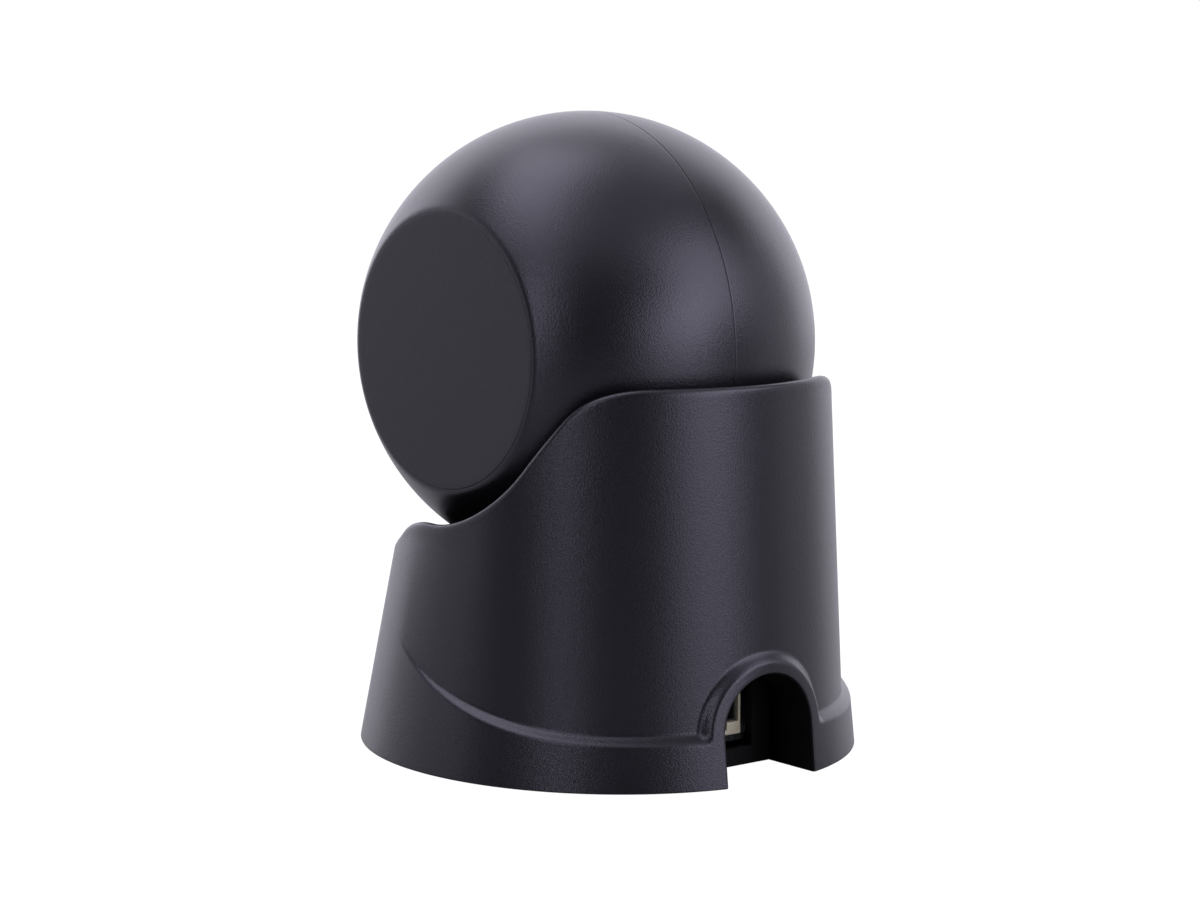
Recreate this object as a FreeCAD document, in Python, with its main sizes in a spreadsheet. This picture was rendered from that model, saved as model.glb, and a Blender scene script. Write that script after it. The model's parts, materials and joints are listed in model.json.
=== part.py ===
"""Hands-free barcode scanner: a tilting ball head in a round cradle base.

Frame: millimetres, +Z up. The origin is the middle of the base's footprint on the table.
The scan window faces -Y, the cable pocket +Y. Head pieces are drawn about the middle of
the ball and then placed there.
"""
import FreeCAD, Part
import math
import os
import re

import Sketcher

Vector = FreeCAD.Vector

# Driving dimensions, in millimetres and degrees.
SIZES = {
    # base
    "cradle_margin": -0.5,
    "foot_side_spread": 3.9,
    "foot_front_spread": 7.4,
    "table_gap": 0.2,
    "tube_taper": 0.043,
    "tube_shift": 4.2,
    "apron_height": 52.0,
    "shell_wall": 2.5,
    "rim_front_height": 44.0,
    "rim_side_height": 56.5,
    "rim_back_height": 89.4,
    "rim_front_radius": 70.0,
    "rim_brow_radius": 30.0,
    "rim_sweep_radius": 33.4,
    "rim_crest_radius": 16.0,
    "rim_slope": 55.0,
    "rim_brow_setback": 1.0,
    "crease_setback": 7.6,
    "crease_lean": 5.5,
    "belt_back_height": 11.6,
    "belt_back_reach": 50.0,
    "belt_sweep_radius": 110.0,
    "flank_turn": 8.0,
    "arch_half_width": 13.0,
    "arch_straight": 11.5,
    "arch_band": 4.7,
    "pocket_depth_from": 42.2,
    "pocket_wall": 2.0,
    "jack_window_half_width": 8.0,
    "jack_window_margin": 2.0,
    "plate_height": 1.6,
    "plate_thickness": 2.4,
    "foot_pad_radius": 6.0,
    "ballast_radius": 31.0,
    "ballast_thickness": 4.0,
    "base_screw_radius": 1.5,
    "base_boss_radius": 4.0,
    "base_boss_height": 12.0,
    "screw_head_height": 0.8,
    # interface jack
    "jack_width": 13.5,
    "jack_height": 12.6,
    "jack_depth": 16.0,
    "jack_wall": 1.2,
    "jack_floor": 2.8,
    "jack_face_setback": 0.5,
    "board_thickness": 1.6,
    "jack_board_height": 5.4,
    # ball head
    "ball_radius": 54.8,
    "ball_wall": 2.5,
    "ball_shift": 7.8,
    "ball_bottom": 40.4,
    "seam_gap": 0.1,
    "disc_distance": 44.1,
    "disc_turn": 3.4,
    "cover_radius": 31.6,
    "cover_thickness": 2.0,
    "window_distance": 43.0,
    "window_radius": 29.4,
    "window_thickness": 1.7,
    "window_seat": 2.4,
    "gasket_thickness": 0.5,
    "bezel_thickness": 1.0,
    "head_screw_radius": 1.5,
    "head_screw_head": 2.5,
    "head_screw_bite": 12.0,
    "head_sink_depth": 1.5,
    "head_boss_radius": 3.6,
    # cradle mechanism
    "tilt_limit": 15.0,
    "running_gap": 0.3,
    "fit_gap": 0.05,
    "pad_thickness": 1.2,
    "pad_radius": 22.0,
    "saddle_radius": 24.0,
    "saddle_wall": 2.5,
    "post_radius": 3.6,
    "post_bore": 2.3,
    "slot_clearance": 0.6,
    "keeper_radius": 10.0,
    "keeper_thickness": 3.0,
    "spring_height": 2.6,
    "nut_flats": 10.0,
    "nut_thickness": 3.2,
    # optics
    "bench_height": -20.0,
    "bench_thickness": 2.5,
    "bench_half_width": 27.0,
    "bench_half_length": 25.0,
    "motor_radius": 11.0,
    "motor_height": 3.0,
    "shaft_radius": 1.5,
    "bush_wall": 1.5,
    "polygon_radius": 13.0,
    "polygon_height": 8.0,
    "mirror_distance": 21.0,
    "mirror_width": 12.0,
    "mirror_thickness": 1.5,
    "mirror_rise": 12.0,
    "mirror_slope": 6.0,
    "mirror_seat_wall": 2.0,
    "board_distance": 34.0,
    "lead_radius": 1.5,
}

# Values that follow from the driving dimensions.
DERIVED = {
    "tube_foot_radius": "(ball_radius + cradle_margin)",
    "foot_half_width": "(tube_foot_radius + foot_side_spread)",
    "foot_half_length": "(tube_foot_radius + foot_front_spread)",
    "ball_height": "(ball_bottom + ball_radius)",
    "ball_inner": "(ball_radius - ball_wall)",
    "plate_top": "(plate_height + plate_thickness)",
    "ballast_top": "(plate_top + ballast_thickness)",
    "pocket_back": "(pocket_depth_from + pocket_wall)",
    "arch_top": "(arch_straight + arch_half_width)",
    "jack_bottom": "(jack_board_height + board_thickness)",
    "jack_front": "(pocket_depth_from - jack_face_setback)",
    "pad_inner": "(ball_radius + running_gap)",
    "pad_outer": "(ball_radius + running_gap + pad_thickness)",
    "saddle_ceiling": "(ball_height - pad_outer - saddle_wall - 2)",
    "keeper_under": "(ball_inner - running_gap)",
    "keeper_top": "(-ball_inner + running_gap + keeper_thickness)",
    "spring_top": "(keeper_top + spring_height)",
    "nut_top": "(spring_top + nut_thickness)",
    "bench_top": "(bench_height + bench_thickness)",
    "inner_disc": "(disc_distance - cover_thickness - ball_wall)",
    "seat_front": "(window_distance - window_thickness - gasket_thickness)",
    "seat_back": "(seat_front - window_seat)",
    "motor_top": "(bench_top + motor_height)",
    "rotor_base": "(motor_top + running_gap)",
}

doc = FreeCAD.newDocument("scanner")
sheet = doc.addObject("Spreadsheet::Sheet", "Sizes")
for row, (alias, number) in enumerate(SIZES.items(), start=1):
    sheet.set("A%d" % row, alias)
    sheet.set("B%d" % row, str(number))
    sheet.setAlias("B%d" % row, alias)
doc.recompute()

NODES = []


def formula(text):
    """Write out derived names, then point every driving name at the sheet."""
    text = str(text)
    for _ in range(len(DERIVED)):
        expanded = re.sub(r"[a-z_]+", lambda word: DERIVED.get(word.group(0), word.group(0)), text)
        if expanded == text:
            break
        text = expanded
    return re.sub(
        r"[a-z_]+", lambda word: ("Sizes." if word.group(0) in SIZES else "") + word.group(0), text
    )


def value(text):
    """The number that a formula gives, in millimetres or degrees."""
    return float(sheet.evalExpression(formula(text)))


def bind(item, **formulas):
    for prop, text in formulas.items():
        item.setExpression(prop, formula(text))
    return item


def place(item, x="0", y="0", z="0"):
    for axis, text in zip("xyz", (x, y, z)):
        item.setExpression("Placement.Base." + axis, formula(text))
    return item


def block(name, x, y, z):
    """A box between the pairs of formulas x, y and z."""
    item = doc.addObject("Part::Box", name)
    bind(
        item,
        Length="(%s) - (%s)" % (x[1], x[0]),
        Width="(%s) - (%s)" % (y[1], y[0]),
        Height="(%s) - (%s)" % (z[1], z[0]),
    )
    return place(item, x[0], y[0], z[0])


def rod(name, radius, length, x="0", y="0", z="0", axis="z"):
    """A cylinder that starts at x, y, z and runs up its axis."""
    item = doc.addObject("Part::Cylinder", name)
    bind(item, Radius=radius, Height=length)
    turns = {
        "x": FreeCAD.Rotation(Vector(0, 1, 0), 90),
        "y": FreeCAD.Rotation(Vector(1, 0, 0), -90),
        "z": FreeCAD.Rotation(),
    }
    item.Placement = FreeCAD.Placement(Vector(), turns[axis])
    return place(item, x, y, z)


def cone(name, foot_radius, top_radius, height, x="0", y="0", z="0"):
    item = doc.addObject("Part::Cone", name)
    bind(item, Radius1=foot_radius, Radius2=top_radius, Height=height)
    return place(item, x, y, z)


def ball(name, radius, x="0", y="0", z="0"):
    item = doc.addObject("Part::Sphere", name)
    bind(item, Radius=radius)
    return place(item, x, y, z)


def fuse(name, *items):
    item = doc.addObject("Part::MultiFuse", name)
    item.Shapes = list(items)
    return item


def common(name, *items):
    item = doc.addObject("Part::MultiCommon", name)
    item.Shapes = list(items)
    return item


def cut(name, base, *tools):
    item = doc.addObject("Part::Cut", name)
    item.Base = base
    item.Tool = tools[0] if len(tools) == 1 else fuse(name + "_tools", *tools)
    return item


def group(name, items):
    item = doc.addObject("Part::Compound", name)
    item.Links = list(items)
    return item


def solid(name, shape):
    item = doc.addObject("Part::Feature", name)
    item.Shape = shape
    return item


def node(name, item, in_head=False):
    """Give a finished sub-part its name, and move a head piece to the ball's place."""
    item.Label = name
    if in_head:
        place(item, "0", "-ball_shift", "ball_height")
    NODES.append(item)
    return item


def profile_sketch(body, plane, points):
    """A closed polygon on one of the body's planes, each corner tied to the sheet."""
    sketch = body.newObject("Sketcher::SketchObject", body.Name + "_sketch")
    origin = [item for item in body.Origin.OriginFeatures if item.Role == plane][0]
    sketch.AttachmentSupport = [(origin, "")]
    sketch.MapMode = "FlatFace"
    corners = [Vector(value(across), value(up), 0) for across, up in points]
    count = len(corners)
    for index in range(count):
        sketch.addGeometry(Part.LineSegment(corners[index], corners[(index + 1) % count]), False)
    for index in range(count):
        sketch.addConstraint(Sketcher.Constraint("Coincident", index, 2, (index + 1) % count, 1))
    for index, (across, up) in enumerate(points):
        for kind, text in (("DistanceX", across), ("DistanceY", up)):
            if abs(value(text)) < 1e-9:
                line = -2 if kind == "DistanceX" else -1
                sketch.addConstraint(Sketcher.Constraint("PointOnObject", index, 1, line))
                continue
            number = sketch.addConstraint(
                Sketcher.Constraint(kind, -1, 1, index, 1, value(text))
            )
            sketch.setExpression("Constraints[%d]" % number, formula(text))
    return sketch


def turned(name, points):
    """A body turned about Z from a profile of radius and height pairs, all positive."""
    body = doc.addObject("PartDesign::Body", name)
    sketch = profile_sketch(body, "XZ_Plane", points)
    turn = body.newObject("PartDesign::Revolution", name + "_turn")
    turn.Profile = sketch
    turn.ReferenceAxis = (sketch, ["V_Axis"])
    turn.Angle = 360
    body.Tip = turn
    return body


def sheet_body(name, points, thickness):
    """A flat body: a closed outline padded upwards."""
    body = doc.addObject("PartDesign::Body", name)
    sketch = profile_sketch(body, "XY_Plane", points)
    pad = body.newObject("PartDesign::Pad", name + "_pad")
    pad.Profile = sketch
    bind(pad, Length=thickness)
    body.Tip = pad
    return body


# ---------------------------------------------------------------- base outlines

APRON_OVERLAP = 4.0
FLANK_OVERLAP = 0.4
CUT_MARGIN = 10.0
SHORTEST_EDGE = 0.01


def oval_wire(half_width, half_length, middle_y, height):
    """A level ellipse, whichever way round it is longer."""
    middle = Vector(0, middle_y, height)
    across = Vector(half_width, middle_y, height)
    along = Vector(0, middle_y + half_length, height)
    if half_length >= half_width:
        turned_across = Vector(-half_width, middle_y, height)
        return Part.Wire([Part.Ellipse(along, turned_across, middle).toShape()])
    return Part.Wire([Part.Ellipse(across, along, middle).toShape()])


def apron(name, inset):
    """Ruled solid from the footprint ellipse to the tube's circle, drawn in by inset.

    It runs on a little past the circle, into the tube, so that the two join cleanly.
    """
    half_width = value("foot_half_width") - inset
    half_length = value("foot_half_length") - inset
    radius = value("tube_foot_radius - tube_taper * apron_height") - inset
    reach = 1 + APRON_OVERLAP / value("apron_height")
    foot = oval_wire(half_width, half_length, 0, 0)
    top = oval_wire(
        half_width + (radius - half_width) * reach,
        half_length + (radius - half_length) * reach,
        value("tube_shift") * reach,
        value("apron_height") * reach,
    )
    return solid(name, Part.makeLoft([foot, top], True, True))


def tube(name, inset, from_height, to_height):
    """The round cradle wall's cone, drawn in by inset."""
    radius = "tube_foot_radius - tube_taper * (%s) - (%s)"
    return cone(
        name,
        radius % (from_height, inset),
        radius % (to_height, inset),
        "(%s) - (%s)" % (to_height, from_height),
        y="tube_shift",
        z=from_height,
    )


def side_prism(name, edges, shift_y=0.0, shift_z=0.0):
    """A prism across the whole width from an outline in the side view."""
    width = 4 * value("foot_half_width")
    face = Part.Face(Part.Wire(edges))
    face.translate(Vector(-width / 2, shift_y, shift_z))
    return solid(name, face.extrude(Vector(width, 0, 0)))


def side_line(start, end):
    return Part.LineSegment(Vector(0, *start), Vector(0, *end)).toShape()


def side_arc(start, middle, end):
    return Part.Arc(Vector(0, *start), Vector(0, *middle), Vector(0, *end)).toShape()


def rim_region():
    """Everything below the rim: low in front, up over a brow, then swept to the tall back."""
    far = 2 * value("foot_half_length")
    floor, front = value("table_gap"), value("rim_front_height")
    side, top = value("rim_side_height"), value("rim_back_height")
    bowl, brow = value("rim_front_radius"), value("rim_brow_radius")
    sweep, crest = value("rim_sweep_radius"), value("rim_crest_radius")
    fall = math.acos(1 - (side - front) / (bowl + brow))
    steepest = math.acos(max(-1, 1 - (top - side) / (sweep + crest)))
    climb_turn = min(math.radians(value("rim_slope")), steepest)

    brow_y, brow_z = -value("rim_brow_setback"), side - brow
    bowl_y, bowl_z = brow_y - (brow + bowl) * math.sin(fall), front + bowl
    sweep_y, sweep_z = 0, side + sweep
    crest_z = top - crest
    climb_start = (sweep_y + sweep * math.sin(climb_turn), sweep_z - sweep * math.cos(climb_turn))
    climb = max(0, crest_z + crest * math.cos(climb_turn) - climb_start[1])
    climb_end = (climb_start[0] + climb / math.tan(climb_turn), climb_start[1] + climb)
    crest_y = climb_end[0] + crest * math.sin(climb_turn)

    def on_bowl(angle):
        return (bowl_y + bowl * math.sin(angle), bowl_z - bowl * math.cos(angle))

    def on_brow(angle):
        return (brow_y - brow * math.sin(angle), brow_z + brow * math.cos(angle))

    def on_crest(angle):
        return (crest_y - crest * math.sin(angle), crest_z + crest * math.cos(angle))

    half_sweep = (
        sweep_y + sweep * math.sin(climb_turn / 2), sweep_z - sweep * math.cos(climb_turn / 2)
    )
    edges = [
        side_line((-far, floor), (-far, front)),
        side_line((-far, front), on_bowl(0)),
        side_arc(on_bowl(0), on_bowl(fall / 2), on_bowl(fall)),
        side_arc(on_bowl(fall), on_brow(fall / 2), on_brow(0)),
        side_line(on_brow(0), (sweep_y, side)),
        side_arc((sweep_y, side), half_sweep, climb_start),
        side_arc(climb_end, on_crest(climb_turn / 2), on_crest(0)),
        side_line(on_crest(0), (far, top)),
        side_line((far, top), (far, floor)),
        side_line((far, floor), (-far, floor)),
    ]
    if climb > SHORTEST_EDGE:
        edges.insert(6, side_line(climb_start, climb_end))
    return side_prism("rim_region", edges)


def belt_region(name, inset):
    """What the apron keeps: all that lies ahead of the crease, and a flange round the back."""
    far = 2 * value("foot_half_length")
    top = value("apron_height") + CUT_MARGIN
    level, sweep = value("belt_back_height"), value("belt_sweep_radius")
    level_y = value("belt_back_reach")

    def on_sweep(y):
        return (y, level + sweep - math.sqrt(sweep ** 2 - (y - level_y) ** 2))

    corner = on_sweep(-value("crease_setback"))
    lean = math.tan(math.radians(value("crease_lean")))
    crease_top = (corner[0] + (top - corner[1]) * lean, top)
    edges = [
        side_line((-far, -far), (-far, top)),
        side_line((-far, top), crease_top),
        side_line(crease_top, corner),
        side_arc(corner, on_sweep((corner[0] + level_y) / 2), on_sweep(level_y)),
        side_line(on_sweep(level_y), (far, level)),
        side_line((far, level), (far, -far)),
        side_line((far, -far), (-far, -far)),
    ]
    return side_prism(name, edges, -inset, -inset)


def flank(name, side):
    """Fills the tube's side out to the apron's crease, so that the wall runs on flush."""
    top = value("apron_height")
    hidden = FLANK_OVERLAP

    def outline(height):
        share = height / top
        tube_radius = value("tube_foot_radius - tube_taper * apron_height")
        half_width = value("foot_half_width")
        half_length = value("foot_half_length")
        half_width += (tube_radius - half_width) * share
        half_length += (tube_radius - half_length) * share
        crease_y = -value("crease_setback") - hidden
        across = (crease_y - value("tube_shift") * share) / half_length
        crease_x = half_width * math.sqrt(1 - across ** 2) - hidden / 4
        radius = value("tube_foot_radius") - value("tube_taper") * height
        turn = math.radians(value("flank_turn"))
        end = (radius * math.cos(turn), value("tube_shift") + radius * math.sin(turn))
        corners = [(0, crease_y), (crease_x, crease_y), end, (0, end[1])]
        points = [Vector(side * x, y, height) for x, y in corners]
        return Part.makePolygon(points + points[:1])

    return solid(name, Part.makeLoft([outline(value("table_gap")), outline(top)], True, True))


def arch_prism(name, half_width, from_y, to_y):
    """A round-topped doorway running along Y, with its sill well below the table."""
    half = value(half_width)
    spring = value("arch_straight")
    sill = -5.0
    start = value(from_y)
    edges = [
        Part.LineSegment(Vector(-half, start, sill), Vector(-half, start, spring)).toShape(),
        Part.Arc(
            Vector(-half, start, spring),
            Vector(0, start, spring + half),
            Vector(half, start, spring),
        ).toShape(),
        Part.LineSegment(Vector(half, start, spring), Vector(half, start, sill)).toShape(),
        Part.LineSegment(Vector(half, start, sill), Vector(-half, start, sill)).toShape(),
    ]
    face = Part.Face(Part.Wire(edges))
    return solid(name, face.extrude(Vector(0, value(to_y) - start, 0)))


def rim_spots(turns_and_insets):
    """Mirrored pairs of places at set distances inside the footprint's edge."""
    return [
        (
            "%d * (foot_half_width - %s) * %.4f" % (side, inset, math.cos(math.radians(turn))),
            "(foot_half_length - %s) * %.4f" % (inset, math.sin(math.radians(turn))),
        )
        for side in (-1, 1)
        for turn, inset in turns_and_insets
    ]


BASE_SCREW_SPOTS = rim_spots([(-40, 9), (36, 10)])
FOOT_SPOTS = rim_spots([(-58, 9.5), (55, 12)])
BOARD_POSTS = [("-10", "24.5"), ("10", "24.5")]


# ---------------------------------------------------------------- base


def make_base_shell():
    wall = value("shell_wall")
    outer_tube = tube("outer_tube", "0", "0", "rim_back_height")
    inner_tube = tube("inner_tube", "shell_wall", "-1", "rim_back_height + 1")
    outer_apron = apron("outer_apron", 0)
    inner_apron = apron("inner_apron", wall)
    kept_apron = common("kept_apron", outer_apron, belt_region("belt_region", 0))
    kept_hollow = common("kept_hollow", inner_apron, belt_region("belt_hollow_region", wall))
    band = arch_prism("arch_band_prism", "arch_half_width + arch_band", "tube_shift", "99")
    arch_boss = common("arch_boss", outer_apron, band)
    pocket_block = arch_prism(
        "pocket_block", "arch_half_width + pocket_wall", "pocket_depth_from", "99"
    )
    pocket_body = common("pocket_body", pocket_block, outer_tube)
    flanks = [flank("flank_%s" % word, side) for side, word in ((-1, "left"), (1, "right"))]
    skin = fuse("base_skin", outer_tube, kept_apron, arch_boss, *flanks)
    hollow = cut("base_hollow", fuse("base_hollow_all", inner_tube, kept_hollow), pocket_body)
    bosses = []
    for number, (x, y) in enumerate(BASE_SCREW_SPOTS):
        bosses.append(
            rod("base_boss_%d" % number, "base_boss_radius", "base_boss_height",
                x, y, "plate_top")
        )
    bores = []
    for number, (x, y) in enumerate(BASE_SCREW_SPOTS):
        bores.append(
            rod("base_bore_%d" % number, "base_screw_radius + fit_gap", "base_boss_height - 2",
                x, y, "plate_top - 0.5")
        )
    webs = [
        block("base_web_%d" % number,
              (x if value(x) > 0 else "-foot_half_width", x if value(x) < 0 else "foot_half_width"),
              (y + " - 1", y + " + 1"), ("plate_top", "plate_top + base_boss_height - 1"))
        for number, (x, y) in enumerate(BASE_SCREW_SPOTS)
    ]
    held = common("base_boss_in_shell", fuse("base_boss_all", *bosses, *webs), skin)
    walls = fuse("base_walls", cut("base_walls_plain", skin, hollow), held)
    arch = arch_prism("arch_opening", "arch_half_width", "pocket_back", "99")
    window = block("jack_window", ("-jack_window_half_width", "jack_window_half_width"),
                   ("pocket_depth_from - 1", "pocket_back + 1"),
                   ("jack_board_height - 1", "jack_bottom + jack_height + jack_window_margin"))
    opened = cut("base_opened", walls, arch, window, *bores)
    shell = common("base_shell", opened, rim_region())
    node("base_shell", shell)


def make_base_plate():
    clear = value("shell_wall + running_gap")
    outline = apron("plate_outline", clear)
    far = "2 * foot_half_length"
    slab = block("plate_slab", ("-" + far, far), ("-" + far, far), ("plate_height", "plate_top"))
    blank = common("plate_blank", outline, slab)
    notch = block("plate_notch",
                  ("-arch_half_width - pocket_wall - running_gap",
                   "arch_half_width + pocket_wall + running_gap"),
                  ("pocket_depth_from - running_gap", far), ("0", "plate_top + 1"))
    holes = [
        rod("plate_hole_%d" % number, "base_screw_radius + fit_gap", "plate_thickness + 2",
            x, y, "plate_height - 1")
        for number, (x, y) in enumerate(BASE_SCREW_SPOTS)
    ]
    heads = [
        rod("plate_sink_%d" % number, "2 * base_screw_radius", "screw_head_height + 0.2",
            x, y, "plate_height - 0.1")
        for number, (x, y) in enumerate(BASE_SCREW_SPOTS)
    ]
    posts = [
        rod("board_post_%d" % number, "2.2", "jack_board_height - plate_top", x, y, "plate_top")
        for number, (x, y) in enumerate(BOARD_POSTS)
    ]
    post_bores = [
        rod("board_post_bore_%d" % number, "1 + fit_gap", "jack_board_height - plate_height",
            x, y, "plate_height + 0.8")
        for number, (x, y) in enumerate(BOARD_POSTS)
    ]
    plate = cut("base_plate", fuse("plate_with_posts", blank, *posts), notch, *holes, *heads,
                *post_bores)
    node("base_plate", plate)


def make_feet():
    pads = [
        rod("foot_%d" % number, "foot_pad_radius", "plate_height", x, y)
        for number, (x, y) in enumerate(FOOT_SPOTS)
    ]
    node("rubber_feet", group("rubber_feet", pads))


def screw(name, radius, head_radius, head_height, length):
    """A pan screw standing on its tip, shank below and head on top."""
    return turned(name, [
        ("0", "0"),
        (radius, "0"),
        (radius, length),
        (head_radius, length),
        (head_radius, "%s + %s" % (length, head_height)),
        ("0", "%s + %s" % (length, head_height)),
    ])


def copies(name, original, spots, upside_down=False):
    """Placed copies of one piece, gathered as one sub-part of separate solids."""
    flip = FreeCAD.Rotation(Vector(1, 0, 0), 180) if upside_down else FreeCAD.Rotation()
    doc.recompute()
    items = []
    for number, (x, y, z) in enumerate(spots):
        item = doc.addObject("Part::Feature", "%s_%d" % (name, number))
        item.Shape = original.Shape.copy()
        item.Placement = FreeCAD.Placement(Vector(value(x), value(y), value(z)), flip)
        items.append(item)
    return group(name, items)


def make_base_screws():
    length = "plate_thickness + 6"
    one = screw("base_screw_one", "base_screw_radius", "2 * base_screw_radius - fit_gap",
                "screw_head_height", length)
    top = "plate_height + 0.1 + screw_head_height + " + length
    spots = [(x, y, top) for x, y in BASE_SCREW_SPOTS]
    node("base_screws", copies("base_screws", one, spots, upside_down=True))


def make_ballast():
    disc = rod("ballast_disc", "ballast_radius", "ballast_thickness", y="-ball_shift - 6",
               z="plate_top")
    bosses = [
        rod("ballast_clear_%d" % number, "base_boss_radius + 1", "ballast_thickness + 2",
            x, y, "plate_top - 1")
        for number, (x, y) in enumerate(BASE_SCREW_SPOTS)
    ]
    holes = [
        rod("ballast_hole_%d" % number, "base_screw_radius + fit_gap", "ballast_thickness + 2",
            x, y, "plate_top - 1")
        for number, (x, y) in enumerate(SADDLE_SCREW_SPOTS)
    ]
    node("ballast_plate", cut("ballast_plate", disc, *bosses, *holes))


SADDLE_SCREW_SPOTS = [
    ("%.3f" % (27.6 * math.cos(math.radians(turn))),
     "-ball_shift + %.3f" % (27.6 * math.sin(math.radians(turn))))
    for turn in (150, 270, 390)
]


def make_saddle():
    height = "ball_height - ballast_top"
    body = turned("saddle_blank", [
        ("0", "0"),
        ("saddle_radius + 6", "0"),
        ("saddle_radius + 6", "saddle_wall"),
        ("saddle_radius", "saddle_wall"),
        ("saddle_radius", height),
        ("0", height),
    ])
    place(body, "0", "-ball_shift", "ballast_top")
    seat = ball("saddle_seat", "pad_outer + fit_gap", y="-ball_shift", z="ball_height")
    hollow = rod("saddle_hollow", "saddle_radius - saddle_wall", "saddle_ceiling - ballast_top + 1",
                 y="-ball_shift", z="ballast_top - 1")
    bore = rod("saddle_bore", "post_radius + fit_gap", "99", y="-ball_shift", z="ballast_top")
    door = block("saddle_door", ("-6", "6"), ("0", "2 * saddle_radius"),
                 ("ballast_top - 1", "ballast_top + 14"))
    holes = [
        rod("saddle_hole_%d" % number, "base_screw_radius + fit_gap", "saddle_wall + 2",
            x, y, "ballast_top - 1")
        for number, (x, y) in enumerate(SADDLE_SCREW_SPOTS)
    ]
    node("saddle", cut("saddle", body, seat, hollow, bore, door, *holes))
    one = screw("saddle_screw_one", "base_screw_radius", "2.6", "2", "saddle_wall + 3")
    spots = [(x, y, "ballast_top - 3") for x, y in SADDLE_SCREW_SPOTS]
    node("saddle_screws", copies("saddle_screws", one, spots))


def make_saddle_pad():
    outer = ball("pad_outer_ball", "pad_outer")
    inner = ball("pad_inner_ball", "pad_inner")
    ring = rod("pad_ring", "pad_radius", "pad_outer", z="-pad_outer")
    hole = rod("pad_hole", "pad_radius - 11", "2 * pad_outer", z="-pad_outer - 1")
    pad = cut("saddle_pad", common("pad_zone", outer, ring), inner, hole)
    node("saddle_pad", pad, in_head=True)


def make_tilt_post():
    flange = "2.4"
    top = "ball_height + nut_top + 0.6 - (saddle_ceiling - %s)" % flange
    post = turned("post_blank", [
        ("post_bore", "0"),
        ("post_radius + 4", "0"),
        ("post_radius + 4", flange),
        ("post_radius", flange),
        ("post_radius", top),
        ("post_bore", top),
    ])
    place(post, "0", "-ball_shift", "saddle_ceiling - %s" % flange)
    node("tilt_post", post)


def make_keeper():
    under = ball("keeper_ball", "keeper_under")
    disc = rod("keeper_disc", "keeper_radius", "ball_inner + keeper_top", z="-ball_inner")
    bore = rod("keeper_bore", "post_radius + fit_gap", "99", z="-ball_radius")
    node("keeper_plate", cut("keeper_plate", common("keeper_blank", under, disc), bore),
         in_head=True)
    cup = turned("spring_blank", [
        ("post_radius + running_gap", "spring_height - 0.8"),
        ("post_radius + 1.2", "spring_height - 0.8"),
        ("keeper_radius - 2.2", "0"),
        ("keeper_radius - 1.2", "0"),
        ("keeper_radius - 1.2", "0.6"),
        ("post_radius + 2", "spring_height"),
        ("post_radius + running_gap", "spring_height"),
    ])
    place(cup, "0", "-ball_shift", "ball_height + keeper_top")
    node("keeper_spring", cup)
    nut = sheet_body("nut_blank", hexagon("nut_flats / 2 / cos(30)"), "nut_thickness")
    bore = rod("nut_bore", "post_radius + fit_gap / 2", "nut_thickness + 2", "nut_flats",
               "nut_flats", "-1")
    whole = cut("keeper_nut", nut, bore)
    place(whole, "-nut_flats", "-ball_shift - nut_flats", "ball_height + spring_top")
    node("keeper_nut", whole)


def hexagon(radius):
    """Corners of a hexagon round the point that lies nut_flats along both axes."""
    return [
        ("nut_flats + %s * %.9f" % (radius, math.cos(math.radians(60 * step + 30))),
         "nut_flats + %s * %.9f" % (radius, math.sin(math.radians(60 * step + 30))))
        for step in range(6)
    ]


def make_jack():
    half = "jack_width / 2"
    back = "jack_front - jack_depth"
    shell = block("jack_block", ("-" + half, half), (back, "jack_front"),
                  ("jack_bottom", "jack_bottom + jack_height"))
    socket = block("jack_socket",
                   ("-%s + jack_wall" % half, "%s - jack_wall" % half),
                   (back + " + 3", "jack_front + 1"),
                   ("jack_bottom + jack_floor", "jack_bottom + jack_height - jack_wall - 2.6"))
    latch = block("jack_latch", ("-3.1", "3.1"), (back + " + 6", "jack_front + 1"),
                  ("jack_bottom + 1.1", "jack_bottom + jack_floor + 1"))
    node("interface_jack", cut("interface_jack", shell, socket, latch))
    top = "jack_bottom + jack_height - jack_wall - 2.6"
    contacts = []
    for number in range(10):
        x = "(%d - 4.5) * 1.02" % number
        contacts.append(block("contact_%d" % number, (x + " - 0.2", x + " + 0.2"),
                              (back + " + 3", "jack_front - 2"), (top + " - 0.5", top)))
    node("jack_contacts", group("jack_contacts", contacts))
    board = block("jack_board_blank", ("-arch_half_width", "arch_half_width"),
                  (back + " - 8", "jack_front - 0.6"), ("jack_board_height", "jack_bottom"))
    holes = [
        rod("jack_board_hole_%d" % number, "1 + fit_gap", "9", x, y, "plate_top")
        for number, (x, y) in enumerate(BOARD_POSTS)
    ]
    node("jack_board", cut("jack_board", board, *holes))
    one = screw("board_screw_one", "1", "2", "1.2", "board_thickness + 2.2")
    spots = [(x, y, "jack_bottom - board_thickness - 2.2") for x, y in BOARD_POSTS]
    node("board_screws", copies("board_screws", one, spots))
    plug = block("lead_plug", ("-4", "4"), (back + " - 7.5", back + " - 1"),
                 ("jack_bottom", "jack_bottom + 5"))
    node("base_connector", plug)


# ---------------------------------------------------------------- ball head

HEAD_SCREW_SPOTS = [(-19.5, 22.5), (19.5, 22.5), (-12.0, -26.0), (12.0, -26.0)]
BENCH_SCREW_SPOTS = [(side * 24.0, y) for side in (-1, 1) for y in (-21.5, 16.5)]


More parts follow.
